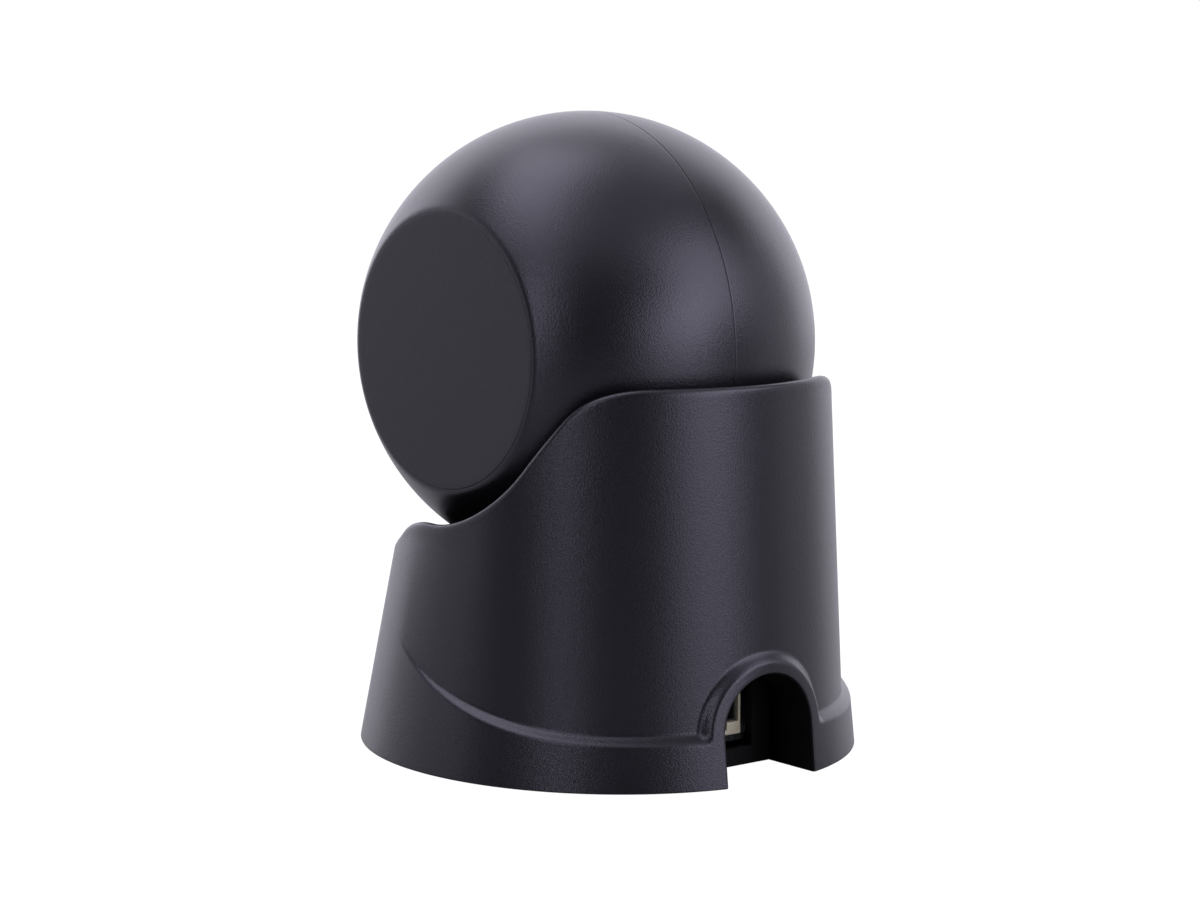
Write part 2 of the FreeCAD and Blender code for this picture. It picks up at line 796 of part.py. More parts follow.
def beyond_disc(name, side, distance):
    """All that lies outside the side plane at a distance from the ball's middle."""
    item = doc.addObject("Part::Box", name)
    bind(item, Length="ball_radius", Width="4 * ball_radius", Height="4 * ball_radius")
    turn = FreeCAD.Rotation(Vector(0, 0, 1), side * value("disc_turn"))
    reach = value(distance) + (0 if side > 0 else value("ball_radius"))
    half = 2 * value("ball_radius")
    corner = turn.multVec(Vector(side * reach, -half, -half))
    item.Placement = FreeCAD.Placement(corner, turn)
    return item


def disc_rod(name, side, radius, from_distance, length):
    """A cylinder square to the side plane, starting at a distance from the ball's middle."""
    item = doc.addObject("Part::Cylinder", name)
    bind(item, Radius=radius, Height=length)
    turn = FreeCAD.Rotation(Vector(0, 0, 1), side * value("disc_turn"))
    lay = FreeCAD.Rotation(Vector(0, 1, 0), side * 90)
    item.Placement = FreeCAD.Placement(
        turn.multVec(Vector(side * value(from_distance), 0, 0)), turn.multiply(lay)
    )
    return item


def tilt_slot(name):
    """The slot that lets the post stay upright while the ball tilts about X."""
    half = value("post_radius + slot_clearance")
    reach = math.radians(value("tilt_limit")) + half / value("ball_inner")
    outer, inner = value("ball_radius + 3"), value("ball_inner - 3")

    def point(radius, angle):
        return Vector(-half, radius * math.sin(angle), -radius * math.cos(angle))

    edges = [
        Part.Arc(point(outer, -reach), point(outer, 0), point(outer, reach)).toShape(),
        Part.LineSegment(point(outer, reach), point(inner, reach)).toShape(),
        Part.Arc(point(inner, reach), point(inner, 0), point(inner, -reach)).toShape(),
        Part.LineSegment(point(inner, -reach), point(outer, -reach)).toShape(),
    ]
    return solid(name, Part.Face(Part.Wire(edges)).extrude(Vector(2 * half, 0, 0)))


def make_half_shell(side, name):
    far = "2 * ball_radius"
    reach = ("seam_gap / 2", far) if side > 0 else ("-" + far, "-seam_gap / 2")
    skin = cut(
        name + "_skin",
        common(name + "_half", ball(name + "_ball", "ball_radius"),
               block(name + "_side", reach, ("-window_distance", far), ("-" + far, far))),
        beyond_disc(name + "_flat", side, "disc_distance"),
    )
    hollow = cut(
        name + "_hollow",
        ball(name + "_hollow_ball", "ball_inner"),
        beyond_disc(name + "_hollow_flat", side, "inner_disc"),
        block(name + "_hollow_front", ("-" + far, far), ("-" + far, "-seat_back"),
              ("-" + far, far)),
    )
    parts = [
        rod("%s_boss_%d" % (name, number), "head_boss_radius", far,
            "0" if side > 0 else "-" + far, str(y), str(z), axis="x")
        for number, (y, z) in enumerate(HEAD_SCREW_SPOTS)
    ]
    for number, (x, y) in enumerate(BENCH_SCREW_SPOTS):
        if x * side > 0:
            parts.append(rod("%s_leg_%d" % (name, number), "3", "%s + bench_height" % far,
                             str(x), str(y), "-" + far))
    bosses = common(name + "_bosses", fuse(name + "_boss_all", *parts), skin)
    walls = fuse(name + "_walls", cut(name + "_plain", skin, hollow), bosses)
    removed = [
        disc_rod(name + "_recess", side, "cover_radius + 0.15", "disc_distance - cover_thickness",
                 "ball_radius"),
        rod(name + "_window", "window_radius + 0.15", "ball_radius",
            y="-seat_front - ball_radius", axis="y"),
        rod(name + "_seat", "window_radius - 2.4", "ball_radius",
            y="-seat_back + 1 - ball_radius", axis="y"),
        tilt_slot(name + "_slot"),
    ]
    for number, (y, z) in enumerate(HEAD_SCREW_SPOTS):
        bore_name = "%s_bore_%d" % (name, number)
        bore_radius = "head_screw_radius + fit_gap"
        if side > 0:
            removed.append(rod(bore_name, bore_radius, "head_screw_bite + 2", "0", str(y), str(z),
                               axis="x"))
        else:
            removed.append(rod(bore_name, bore_radius, far, "-" + far, str(y), str(z), axis="x"))
            removed.append(rod("%s_sink_%d" % (name, number), "head_screw_head + 0.1", far,
                               "-inner_disc + head_sink_depth - %s" % far, str(y), str(z),
                               axis="x"))
    for number, (x, y) in enumerate(BENCH_SCREW_SPOTS):
        if x * side > 0:
            removed.append(rod("%s_leg_bore_%d" % (name, number), "1 + fit_gap", "9",
                               str(x), str(y), "bench_height - 8"))
    node(name, cut(name, walls, *removed), in_head=True)


def make_cover(side, name):
    cover = disc_rod(name, side, "cover_radius", "disc_distance - cover_thickness",
                     "cover_thickness")
    ring = cover.Placement
    node(name, cover)
    cover.Placement = FreeCAD.Placement(
        ring.Base + Vector(0, -value("ball_shift"), value("ball_height")), ring.Rotation
    )


def make_head_screws():
    length = "inner_disc + head_screw_bite - head_sink_depth"
    one = turned("head_screw_one", [
        ("0", "0"),
        ("head_screw_radius", "0"),
        ("head_screw_radius", length),
        ("head_screw_head", length),
        ("head_screw_head", length + " + 1.6"),
        ("0", length + " + 1.6"),
    ])
    doc.recompute()
    items = []
    for number, (y, z) in enumerate(HEAD_SCREW_SPOTS):
        item = doc.addObject("Part::Feature", "head_screw_%d" % number)
        item.Shape = one.Shape.copy()
        item.Placement = FreeCAD.Placement(
            Vector(
                value("head_screw_bite"), y - value("ball_shift"), z + value("ball_height")
            ),
            FreeCAD.Rotation(Vector(0, 1, 0), -90),
        )
        items.append(item)
    node("head_screws", group("head_screws", items))


def make_window():
    def ring(name, outer, inner, front, thickness):
        whole = rod(name + "_disc", outer, thickness, y="-(%s)" % front, axis="y")
        if inner is None:
            return whole
        return cut(name, whole, rod(name + "_hole", inner, "%s + 2" % thickness,
                                    y="-(%s) - 1" % front, axis="y"))

    gasket = ring("window_gasket", "window_radius", "window_radius - 2.2",
                  "seat_front + gasket_thickness", "gasket_thickness")
    node("window_gasket", gasket, in_head=True)
    pane = ring("scan_window", "window_radius", None, "window_distance", "window_thickness")
    node("scan_window", pane)
    place(pane, "0", "-ball_shift - window_distance", "ball_height")
    bezel = ring("window_bezel_ring", "window_radius + 4", "window_radius - 1.2",
                 "window_distance + bezel_thickness", "bezel_thickness")
    node("window_bezel", common("window_bezel", bezel, ball("bezel_ball", "ball_radius")),
         in_head=True)


# ---------------------------------------------------------------- optics in the head

MIRROR_TURNS = [15, 52.5, 90, 127.5, 165]


def mirror_prism(points, width):
    """A prism from a profile in the plane of Y and Z, centred on X."""
    corners = [Vector(-width / 2, y, z) for y, z in points]
    wire = Part.makePolygon(corners + corners[:1])
    return Part.Face(wire).extrude(Vector(width, 0, 0))


def make_bench():
    """The moulded bench that holds motor, mirrors and board in line."""
    half = "bench_half_width"
    deck = block("bench_deck", ("-" + half, half), ("-bench_half_length", "bench_half_length"),
                 ("bench_height", "bench_top"))
    tabs = [
        block("bench_tab_%d" % number,
              ("bench_half_width - 6" if side > 0 else "-bench_half_width",
               "bench_half_width" if side > 0 else "-bench_half_width + 6"),
              ("bench_half_length - 3", "board_distance"), ("bench_height", "-8"))
        for number, side in enumerate((-1, 1))
    ]
    arms = [
        block("bench_arm_%d" % number,
              ("12.6" if side > 0 else "-15", "15" if side > 0 else "-12.6"),
              ("-15", "-9"), ("bench_height", "19"))
        for number, side in enumerate((-1, 1))
    ]
    near, floor = value("mirror_distance"), value("bench_top")
    rise, slope = value("mirror_rise"), value("mirror_slope")
    wedges = []
    for number, turn in enumerate(MIRROR_TURNS):
        back = near + slope + value("mirror_seat_wall")
        points = [
            (near, floor - 1),
            (near, floor),
            (near + slope, floor + rise),
            (back, floor + rise),
            (back, floor - 1),
        ]
        shape = mirror_prism(points, value("mirror_width") - 2)
        item = solid("bench_wedge_%d" % number, shape)
        item.Placement = FreeCAD.Placement(Vector(), FreeCAD.Rotation(Vector(0, 0, 1), turn - 90))
        wedges.append(item)
    holes = [
        rod("bench_hole_%d" % number, "1 + fit_gap", "9", str(x), str(y), "bench_height - 1")
        for number, (x, y) in enumerate(BENCH_SCREW_SPOTS)
    ]
    bore = rod("bench_bore", "shaft_radius + bush_wall + fit_gap", "9", z="bench_height - 1")
    whole = cut("optical_bench", fuse("bench_all", deck, *tabs, *arms, *wedges), *holes, bore)
    node("optical_bench", whole, in_head=True)


def make_pattern_mirrors():
    near, floor = value("mirror_distance"), value("bench_top")
    rise, slope = value("mirror_rise"), value("mirror_slope")
    lean = math.hypot(rise, slope)
    thick = value("mirror_thickness")
    out = (-rise / lean * thick, slope / lean * thick)
    items = []
    for number, turn in enumerate(MIRROR_TURNS):
        low = (near + slope * 0.12, floor + rise * 0.12)
        high = (near + slope, floor + rise)
        points = [
            low,
            high,
            (high[0] + out[0], high[1] + out[1]),
            (low[0] + out[0], low[1] + out[1]),
        ]
        item = solid("mirror_%d" % number, mirror_prism(points, value("mirror_width")))
        item.Placement = FreeCAD.Placement(
            Vector(0, -value("ball_shift"), value("ball_height")),
            FreeCAD.Rotation(Vector(0, 0, 1), turn - 90),
        )
        items.append(item)
    node("pattern_mirrors", group("pattern_mirrors", items))


def make_collector():
    """The collecting mirror hangs between the bench's two arms, leaning towards the board."""
    plate = block("collector_plate", ("-12.4", "12.4"), ("-9", "9"), ("-1", "1"))
    hole = rod("collector_hole", "2", "9", z="-4")
    mirror = cut("collector_mirror", plate, hole)
    mirror.Placement = FreeCAD.Placement(
        Vector(0, -12 - value("ball_shift"), 11 + value("ball_height")),
        FreeCAD.Rotation(Vector(1, 0, 0), 52),
    )
    node("collector_mirror", mirror)


def make_motor():
    """A flat motor: a stator with its bush on the bench, and a rotor that carries the mirrors."""
    stator = cut("motor_stator",
                 rod("stator_disc", "motor_radius", "motor_height", z="bench_top"),
                 rod("stator_hole", "shaft_radius + bush_wall", "9", z="bench_top - 1"))
    node("motor_stator", stator, in_head=True)
    bush = cut("motor_bush",
               rod("bush_body", "shaft_radius + bush_wall", "motor_top - bench_height",
                   z="bench_height"),
               rod("bush_bore", "shaft_radius + fit_gap", "99", z="bench_height - 1"))
    node("motor_bush", bush, in_head=True)
    shaft = rod("spinner_shaft", "shaft_radius", "rotor_base + 2 + polygon_height - bench_height",
                z="bench_height")
    node("spinner_shaft", shaft)
    place(shaft, "0", "-ball_shift", "ball_height + bench_height")
    rotor = cut("motor_rotor",
                rod("rotor_disc", "motor_radius - 1", "2", z="rotor_base"),
                rod("rotor_hole", "shaft_radius", "9", z="rotor_base - 1"))
    node("motor_rotor", rotor, in_head=True)
    corners = [
        Vector(value("polygon_radius") * math.cos(math.radians(72 * step)),
               value("polygon_radius") * math.sin(math.radians(72 * step)), value("rotor_base + 2"))
        for step in range(5)
    ]
    prism = solid("polygon_prism",
                  Part.Face(Part.makePolygon(corners + corners[:1])).extrude(
                      Vector(0, 0, value("polygon_height"))))
    hole = rod("polygon_hole", "shaft_radius", "20", z="rotor_base")
    node("mirror_polygon", cut("mirror_polygon", prism, hole), in_head=True)


def make_boards():
    back = "board_distance + board_thickness"
    board = block("main_board_blank", ("-bench_half_width", "bench_half_width"),
                  ("board_distance", back), ("-18", "24"))
    holes = [
        rod("main_board_hole_%d" % number, "1 + fit_gap", "9", str(x), "board_distance - 1",
            "-12", axis="y")
        for number, x in enumerate(BOARD_SCREW_X)
    ]
    node("main_board", cut("main_board", board, *holes), in_head=True)
    one = screw("main_screw_one", "1", "2", "1.2", "board_thickness")
    doc.recompute()
    items = []
    for number, x in enumerate(BOARD_SCREW_X):
        item = doc.addObject("Part::Feature", "main_board_screw_%d" % number)
        item.Shape = one.Shape.copy()
        item.Placement = FreeCAD.Placement(
            Vector(x, value("board_distance - ball_shift"), value("ball_height") - 12),
            FreeCAD.Rotation(Vector(1, 0, 0), -90),
        )
        items.append(item)
    node("main_board_screws", group("main_board_screws", items))
    laser = rod("laser_module", "4", "18", y="board_distance - 18 - ball_shift",
                z="11 + ball_height", axis="y")
    node("laser_module", laser)
    for name, x, z, depth in (
        ("photodetector", ("-4", "4"), ("17", "23"), "4"),
        ("decoder_chip", ("6", "18"), ("-6", "6"), "1.6"),
        ("head_connector", ("-5", "5"), ("-18", "-12"), "4.5"),
    ):
        part = block(name, x, ("board_distance - %s" % depth, "board_distance"), z)
        place(part, x[0], "board_distance - %s - ball_shift" % depth, z[0] + " + ball_height")
        node(name, part)
    beeper = rod("beeper", "6", "5", "-15", "board_distance - 5 - ball_shift", "4 + ball_height",
                 axis="y")
    node("beeper", beeper)
    screws = screw("bench_screw_one", "1", "2.2", "1.4", "bench_thickness + 6")
    spots = [(str(x), "%s - ball_shift" % y, "ball_height + bench_height - 6")
             for x, y in BENCH_SCREW_SPOTS]
    node("bench_screws", copies("bench_screws", screws, spots))
    lights = [
        rod("status_light_%d" % number, "1.5", "3.5", x, "3 - bench_half_length", "bench_top")
        for number, x in enumerate(("-6", "6"))
    ]
    node("status_lights", group("status_lights", lights), in_head=True)


BOARD_SCREW_X = [-24.0, 24.0]


# ---------------------------------------------------------------- internal lead


def rounded_route(points, share=0.45):
    """Straight runs joined by tangent arcs as large as each pair of runs allows."""
    edges = []
    start = points[0]
    for index in range(1, len(points) - 1):
        here = points[index]
        before = (points[index - 1] - here)
        after = (points[index + 1] - here)
        trim = share * min(before.Length, after.Length)
        enter = here + before.normalize() * trim
        leave = here + after.normalize() * trim
        half = before.getAngle(after) / 2
        bisector = (before + after).normalize()
        radius = trim * math.tan(half)
        middle = here + bisector * (trim / math.cos(half) - radius)
        edges.append(Part.LineSegment(start, enter).toShape())
        edges.append(Part.Arc(enter, middle, leave).toShape())
        start = leave
    edges.append(Part.LineSegment(start, points[-1]).toShape())
    return Part.Wire(edges)


def tube_along(points, radius):
    wire = rounded_route(points)
    direction = points[1] - points[0]
    circle = Part.Circle(points[0], direction, radius)
    shape = wire.makePipeShell([Part.Wire([circle.toShape()])], True, True)
    if abs(shape.Volume / (math.pi * radius ** 2 * wire.Length) - 1) > 0.01:
        raise RuntimeError("lead volume is off")
    return shape


def make_lead():
    """From the base connector through the post, and on to the main board."""
    shift, height = value("ball_shift"), value("ball_height")
    radius = value("lead_radius")
    plug_y = value("jack_front - jack_depth - 7.5")
    level = value("jack_bottom") + 2.5
    post_top = height + value("nut_top") + 1.5
    lower = [
        Vector(0, plug_y, level),
        Vector(0, plug_y - 8, level),
        Vector(0, -shift + 5, level + 6),
        Vector(0, -shift, level + 15),
        Vector(0, -shift, post_top),
    ]
    upper = [
        Vector(0, -shift, post_top),
        Vector(0, -shift, post_top + 4),
        Vector(0, -shift + 12, height - 33),
        Vector(0, value("board_distance") - shift - 5, height - 31),
        Vector(0, value("board_distance") - shift - 2.25, height - 24),
        Vector(0, value("board_distance") - shift - 2.25, height - 18),
    ]
    node("base_lead", solid("base_lead", tube_along(lower, radius)))
    node("head_lead", solid("head_lead", tube_along(upper, radius)))


# ---------------------------------------------------------------- build and write


def build():
    make_base_shell()
    make_base_plate()
    make_feet()
    make_base_screws()
    make_ballast()
    make_saddle()
    make_saddle_pad()
    make_tilt_post()
    make_keeper()
    make_jack()
    make_half_shell(-1, "left_shell")
    make_half_shell(1, "right_shell")
    make_cover(-1, "left_cover")
    make_cover(1, "right_cover")
    make_head_screws()
    make_window()
    make_bench()
    make_pattern_mirrors()
    make_collector()
    make_motor()
    make_boards()
    make_lead()
    doc.recompute()


def write():
    for item in doc.Objects:
        if "Invalid" in item.State or "Error" in item.State:
            raise RuntimeError("%s failed: %s" % (item.Name, item.State))
    os.makedirs("parts", exist_ok=True)
    for item in NODES:
        shape = item.Shape
        if shape.isNull() or not shape.isValid() or not shape.Solids:
            raise RuntimeError("%s has no valid solid" % item.Label)
        box = shape.BoundBox
        print("%-18s %2d solids %9.1f mm3  x %.1f..%.1f y %.1f..%.1f z %.1f..%.1f" % (
            item.Label, len(shape.Solids), shape.Volume, box.XMin, box.XMax, box.YMin, box.YMax,
            box.ZMin, box.ZMax))
        shape.exportStep("parts/%s.step" % item.Label)


build()
write()
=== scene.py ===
import json
import math

import bmesh
import bpy
import numpy as np
from mathutils import Matrix, Vector


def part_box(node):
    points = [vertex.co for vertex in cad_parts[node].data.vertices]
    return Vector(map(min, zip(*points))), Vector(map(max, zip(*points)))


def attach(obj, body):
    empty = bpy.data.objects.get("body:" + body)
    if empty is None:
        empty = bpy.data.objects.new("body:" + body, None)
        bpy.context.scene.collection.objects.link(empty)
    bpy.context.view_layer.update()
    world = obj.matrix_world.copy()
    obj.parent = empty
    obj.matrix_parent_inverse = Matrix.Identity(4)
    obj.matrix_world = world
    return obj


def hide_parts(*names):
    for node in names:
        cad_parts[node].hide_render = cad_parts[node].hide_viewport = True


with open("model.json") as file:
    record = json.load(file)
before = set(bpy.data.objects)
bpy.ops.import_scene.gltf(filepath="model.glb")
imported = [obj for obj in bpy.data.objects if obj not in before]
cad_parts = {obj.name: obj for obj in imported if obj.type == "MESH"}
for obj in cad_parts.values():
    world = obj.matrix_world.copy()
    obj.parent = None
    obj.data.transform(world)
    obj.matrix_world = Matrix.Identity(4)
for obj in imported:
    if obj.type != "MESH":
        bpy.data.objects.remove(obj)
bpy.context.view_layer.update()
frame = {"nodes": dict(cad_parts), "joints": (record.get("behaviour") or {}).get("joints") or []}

bl_info = {
    "name": "Hands-free scanner",
    "version": (1, 0, 0),
    "blender": (4, 5, 0),
    "location": "View3D > Sidebar > Scanner",
    "description": "Dresses the ball-headed barcode scanner around its frame",
    "category": "Object",
}

MM = 0.001
BALL_MIDDLE = Vector(next(
    joint["pos_m"] for joint in frame["joints"] if joint["name"] == "head_tilt"))
BALL_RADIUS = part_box("right_shell")[1].z - BALL_MIDDLE.z
BASE_LOW, BASE_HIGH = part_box("base_shell")
JACK_LOW, JACK_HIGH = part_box("interface_jack")


# --- settings


def length(name, description, default):
    return bpy.props.FloatProperty(
        name=name, description=description, default=default, unit="LENGTH", precision=5
    )


def degrees(name, description, default):
    return bpy.props.FloatProperty(
        name=name, description=description, default=math.radians(default), subtype="ANGLE"
    )


def colour(name, description, default):
    return bpy.props.FloatVectorProperty(
        name=name, description=description, default=default, subtype="COLOR", min=0, max=1, size=3
    )


class CradleSettings(bpy.types.PropertyGroup):
    foot_half_width: length(
        "Foot half width", "Half the base's width on the table", 58.2 * MM)
    foot_front: length("Foot front", "How far the base reaches forward", 61.7 * MM)
    tube_radius: length("Tube radius", "Radius of the round wall at the table", 54.3 * MM)
    tube_shift: length("Tube shift", "How far behind the origin the round wall stands", 4.2 * MM)
    tube_taper: bpy.props.FloatProperty(
        name="Tube taper", description="Radius lost per height of the round wall", default=0.043)
    apron_height: length("Apron height", "Where the apron meets the round wall", 52 * MM)
    wall: length("Wall", "Thickness of the moulding", 2.4 * MM)
    lip: length("Lip rounding", "Rounding of the rim's edges", 1.1 * MM)
    arch_half_width: length("Arch half width", "Half the width of the cable arch", 12.9 * MM)
    arch_straight: length("Arch straight", "Height at which the arch turns round", 11.5 * MM)
    arch_band: length("Arch band", "Width of the raised band round the arch", 3.8 * MM)
    pocket_back: length("Pocket back", "Where the pocket's back wall faces", 44.2 * MM)


class BallSettings(bpy.types.PropertyGroup):
    disc_distance: length("Disc distance", "From the ball's middle to a side disc", 44.1 * MM)
    disc_turn: degrees("Disc turn", "How far the discs turn towards the back", 3.4)
    disc_softness: length("Disc softness", "Rounding where a disc meets the ball", 1.3 * MM)
    cover_radius: length("Cover radius", "Radius of the cover in a side disc", 31.9 * MM)
    window_distance: length("Window distance", "From the ball's middle to its front", 43 * MM)
    window_radius: length("Window radius", "Radius of the scan window", 29.4 * MM)
    wall: length("Wall", "Thickness of the ball's wall", 2.2 * MM)
    seam_gap: length("Seam gap", "Gap between the half shells", 0.16 * MM)


class FinishSettings(bpy.types.PropertyGroup):
    shell: colour("Shell", "Moulded shell", (0.0044, 0.0042, 0.0058))
    disc: colour("Disc", "Side discs", (0.0060, 0.0058, 0.0072))
    ivory: colour("Socket", "Interface socket", (0.66, 0.60, 0.45))
    window: colour("Window", "Scan window", (0.30, 0.006, 0.012))
    floor: colour("Floor", "Floor and backdrop", (1.0, 1.0, 1.0))
    grain: length("Grain", "Size of the moulded grain", 0.38 * MM)


class StageSettings(bpy.types.PropertyGroup):
    azimuth: degrees("Azimuth", "Camera's turn round the object", 141.92)
    elevation: degrees("Elevation", "Camera's height angle", 7.14)
    distance: length("Distance", "Camera's distance", 0.678)
    aim_height: length("Aim height", "Height that the camera looks at", 69.6 * MM)
    aim_right: length("Aim right", "How far to its right the camera looks", -1.5 * MM)
    lens: bpy.props.FloatProperty(
        name="Lens", description="Focal length in millimetres", default=85.1)


def settings(kind):
    return getattr(bpy.context.scene, "scanner_" + kind)


# --- shader helpers


def add(tree, kind, inputs=(), **facts):
    """Add a node, set its properties, and fill its inputs by number or name."""
    node = tree.nodes.new(kind)
    for key, fact in facts.items():
        setattr(node, key, fact)
    for key, item in dict(inputs).items():
        if isinstance(item, bpy.types.NodeSocket):
            tree.links.new(item, node.inputs[key])
        else:
            node.inputs[key].default_value = item
    return node


def spread(tree, factor, lowest, highest):
    """Map a 0 to 1 pattern onto a range."""
    return add(tree, "ShaderNodeMapRange", {0: factor, 3: lowest, 4: highest}).outputs[0]


def tint(tree, factor, first, second):
    ramp = add(tree, "ShaderNodeMix", {0: factor}, data_type="RGBA")
    for number, shade in ((6, first), (7, second)):
        ramp.inputs[number].default_value = (*shade, 1)
    return ramp.outputs[2]


def shade(base, factor):
    return tuple(min(1.0, channel * factor) for channel in base)


def new_material(name):
    """A material, its tree, its shader and the place on the object that patterns read."""
    material = bpy.data.materials.new(name)
    material.use_nodes = True
    tree = material.node_tree
    where = add(tree, "ShaderNodeTexCoord").outputs["Object"]
    return material, tree, tree.nodes["Principled BSDF"], where


def noise(tree, where, scale, detail=2.0, roughness=0.5):
    return add(tree, "ShaderNodeTexNoise", {
        "Vector": where, "Scale": scale, "Detail": detail, "Roughness": roughness,
    }).outputs[0]


def dress(tree, shader, colour_of, roughness):
    """Give a shader its colour and its roughness pattern."""
    tree.links.new(colour_of, shader.inputs["Base Color"])
    tree.links.new(roughness, shader.inputs["Roughness"])


def emboss(tree, shader, height, strength, depth):
    """Give a shader a bump as deep as a length."""
    bump = add(tree, "ShaderNodeBump",
               {"Strength": strength, "Distance": depth, "Height": height})
    tree.links.new(bump.outputs[0], shader.inputs["Normal"])


def moulded(name, base, grain=0.6 * MM, depth=0.05, rough=(0.38, 0.5), mottle=0.18,
            specular=0.5, cool=(1, 1, 1)):
    """Moulded plastic: a pebbled grain, slow colour drift and uneven sheen."""
    material, tree, shader, where = new_material(name)
    pebbles = add(tree, "ShaderNodeTexVoronoi", {"Vector": where, "Scale": 1 / grain},
                  feature="SMOOTH_F1")
    fine = noise(tree, where, 1.7 / grain, 3.0, 0.6)
    drift = noise(tree, where, 38.0, 4.0)
    both = add(tree, "ShaderNodeMath", {0: pebbles.outputs["Distance"], 1: fine},
               operation="ADD")
    emboss(tree, shader, both.outputs[0], 0.55, depth * MM)
    dress(tree, shader,
          tint(tree, drift, shade(base, 1 - mottle), shade(base, 1 + mottle)),
          spread(tree, fine, *rough))
    shader.inputs["Specular IOR Level"].default_value = specular
    shader.inputs["Specular Tint"].default_value = (*cool, 1)
    return material


def metal(name, base, rough=(0.22, 0.38), grain=90.0, stretch=(1, 1, 12)):
    """Metal with a drawn or machined grain and faint stains."""
    material, tree, shader, where = new_material(name)
    drawn = add(tree, "ShaderNodeMapping", {"Vector": where, "Scale": stretch})
    lines = noise(tree, drawn.outputs[0], grain * 10, 4.0)
    stain = noise(tree, where, grain, 3.0)
    emboss(tree, shader, lines, 0.25, 0.02 * MM)
    dress(tree, shader, tint(tree, stain, shade(base, 0.82), shade(base, 1.05)),
          spread(tree, lines, *rough))
    shader.inputs["Metallic"].default_value = 1.0
    return material


def laminate(name, base):
    """Circuit board: a mask over a grid of tracks."""
    material, tree, shader, where = new_material(name)
    grid = add(tree, "ShaderNodeTexBrick",
               {"Vector": where, "Scale": 260.0, "Mortar Size": 0.035,
                "Color1": (*shade(base, 0.8), 1), "Color2": (*shade(base, 1.1), 1),
                "Mortar": (*shade(base, 1.9), 1)})
    glassy = noise(tree, where, 1500.0)
    emboss(tree, shader, grid.outputs["Fac"], 0.3, 0.03 * MM)
    dress(tree, shader, grid.outputs["Color"], spread(tree, glassy, 0.25, 0.4))
    return material


def filter_glass(name, base):
    """Deep red filter plastic with a hard polished face."""
    material, tree, shader, where = new_material(name)
    haze = noise(tree, where, 55.0, 5.0)
    dress(tree, shader, tint(tree, haze, shade(base, 0.85), shade(base, 1.15)),
          spread(tree, haze, 0.02, 0.07))
    shader.inputs["Transmission Weight"].default_value = 0.85
    shader.inputs["IOR"].default_value = 1.49
    return material


def silvered(name):
    """Front-silvered mirror, with the faintest dust."""
    material, tree, shader, where = new_material(name)
    dust = noise(tree, where, 420.0, 5.0)
    dress(tree, shader, tint(tree, dust, (0.86, 0.88, 0.9), (0.95, 0.96, 0.97)),
          spread(tree, dust, 0.02, 0.08))
    shader.inputs["Metallic"].default_value = 1.0
    return material


def make_finishes():
    """Every material by the name of its finish."""
    look = settings("finish")
    grain = look.grain
    return {
        "shell": moulded("shell_grain", look.shell, grain, 0.06, (0.27, 0.35),
                          specular=0.62, cool=(0.86, 0.84, 1.0)),
        "disc": moulded("disc_grain", look.disc, grain * 1.1, 0.035, (0.36, 0.44),
                         specular=0.55, cool=(0.88, 0.86, 1.0)),
        # painted shade: the shell colour darkened, with little sheen, stands in for the shade
        # inside the pocket
        "pocket": moulded("pocket_matt_painted_shade", shade(look.shell, 0.45), grain, 0.02, (0.5, 0.6),
                          specular=0.16),
        "bezel": moulded("bezel_gloss", shade(look.shell, 0.8), grain, 0.01, (0.12, 0.2)),
        "rubber": moulded("foot_rubber", (0.018, 0.018, 0.019), grain * 0.6, 0.05, (0.7, 0.85)),
        "lead": moulded("lead_jacket", (0.02, 0.02, 0.022), grain * 0.5, 0.02, (0.45, 0.6)),
        "bench": moulded("optical_black", (0.016, 0.016, 0.018), grain * 0.7, 0.03, (0.6, 0.75)),
        "chip": moulded("chip_body", (0.02, 0.02, 0.021), grain * 0.3, 0.015, (0.5, 0.65)),
        "ivory": moulded("socket_ivory", look.ivory, grain * 0.8, 0.012, (0.35, 0.5), 0.06),
        "white": moulded("connector_white", (0.78, 0.77, 0.72), grain, 0.01, (0.4, 0.5), 0.05),
        "lamp": moulded("lamp_plastic", (0.55, 0.78, 0.6), grain, 0.01, (0.2, 0.3), 0.05),
        "steel": metal("plated_steel", (0.56, 0.57, 0.59)),
        "weight": metal("phosphated_weight", (0.10, 0.10, 0.105), (0.5, 0.65)),
        "brass": metal("spring_brass", (0.83, 0.62, 0.27), (0.2, 0.3)),
        "aluminium": metal("machined_aluminium", (0.75, 0.76, 0.78), (0.25, 0.4), 120.0,
                           (12, 1, 1)),
        "board": laminate("board_black", (0.012, 0.015, 0.014)),
        "window": filter_glass("window_filter", look.window),
        "mirror": silvered("front_silver"),
    }


FINISH = {}

NODE_FINISHES = {
    "rubber": ("rubber_feet", "saddle_pad", "window_gasket"),
    "steel": ("base_screws", "saddle_screws", "tilt_post", "keeper_plate", "keeper_spring",
              "keeper_nut", "board_screws", "head_screws", "bench_screws", "main_board_screws",
              "spinner_shaft", "motor_rotor"),
    "weight": ("ballast_plate",),
    "bench": ("saddle", "optical_bench"),
    "shell": ("base_plate",),
    "board": ("jack_board", "main_board"),
    "white": ("base_connector", "head_connector"),
    "lead": ("base_lead", "head_lead"),
    "mirror": ("pattern_mirrors", "collector_mirror", "mirror_polygon"),
    "brass": ("motor_bush",),
    "aluminium": ("laser_module",),
    "chip": ("motor_stator", "photodetector", "decoder_chip", "beeper"),
    "lamp": ("status_lights",),
    "window": ("scan_window",),
}


# --- mesh helpers


def finish(piece, finish_name, slot, body, *nodes):
    """Give a piece its finish and its body, and stand it in for nodes; the slot is not used."""
    piece.data.materials.clear()
    piece.data.materials.append(FINISH[finish_name])
    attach(piece, body)
    if nodes:
        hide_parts(*nodes)
    return piece


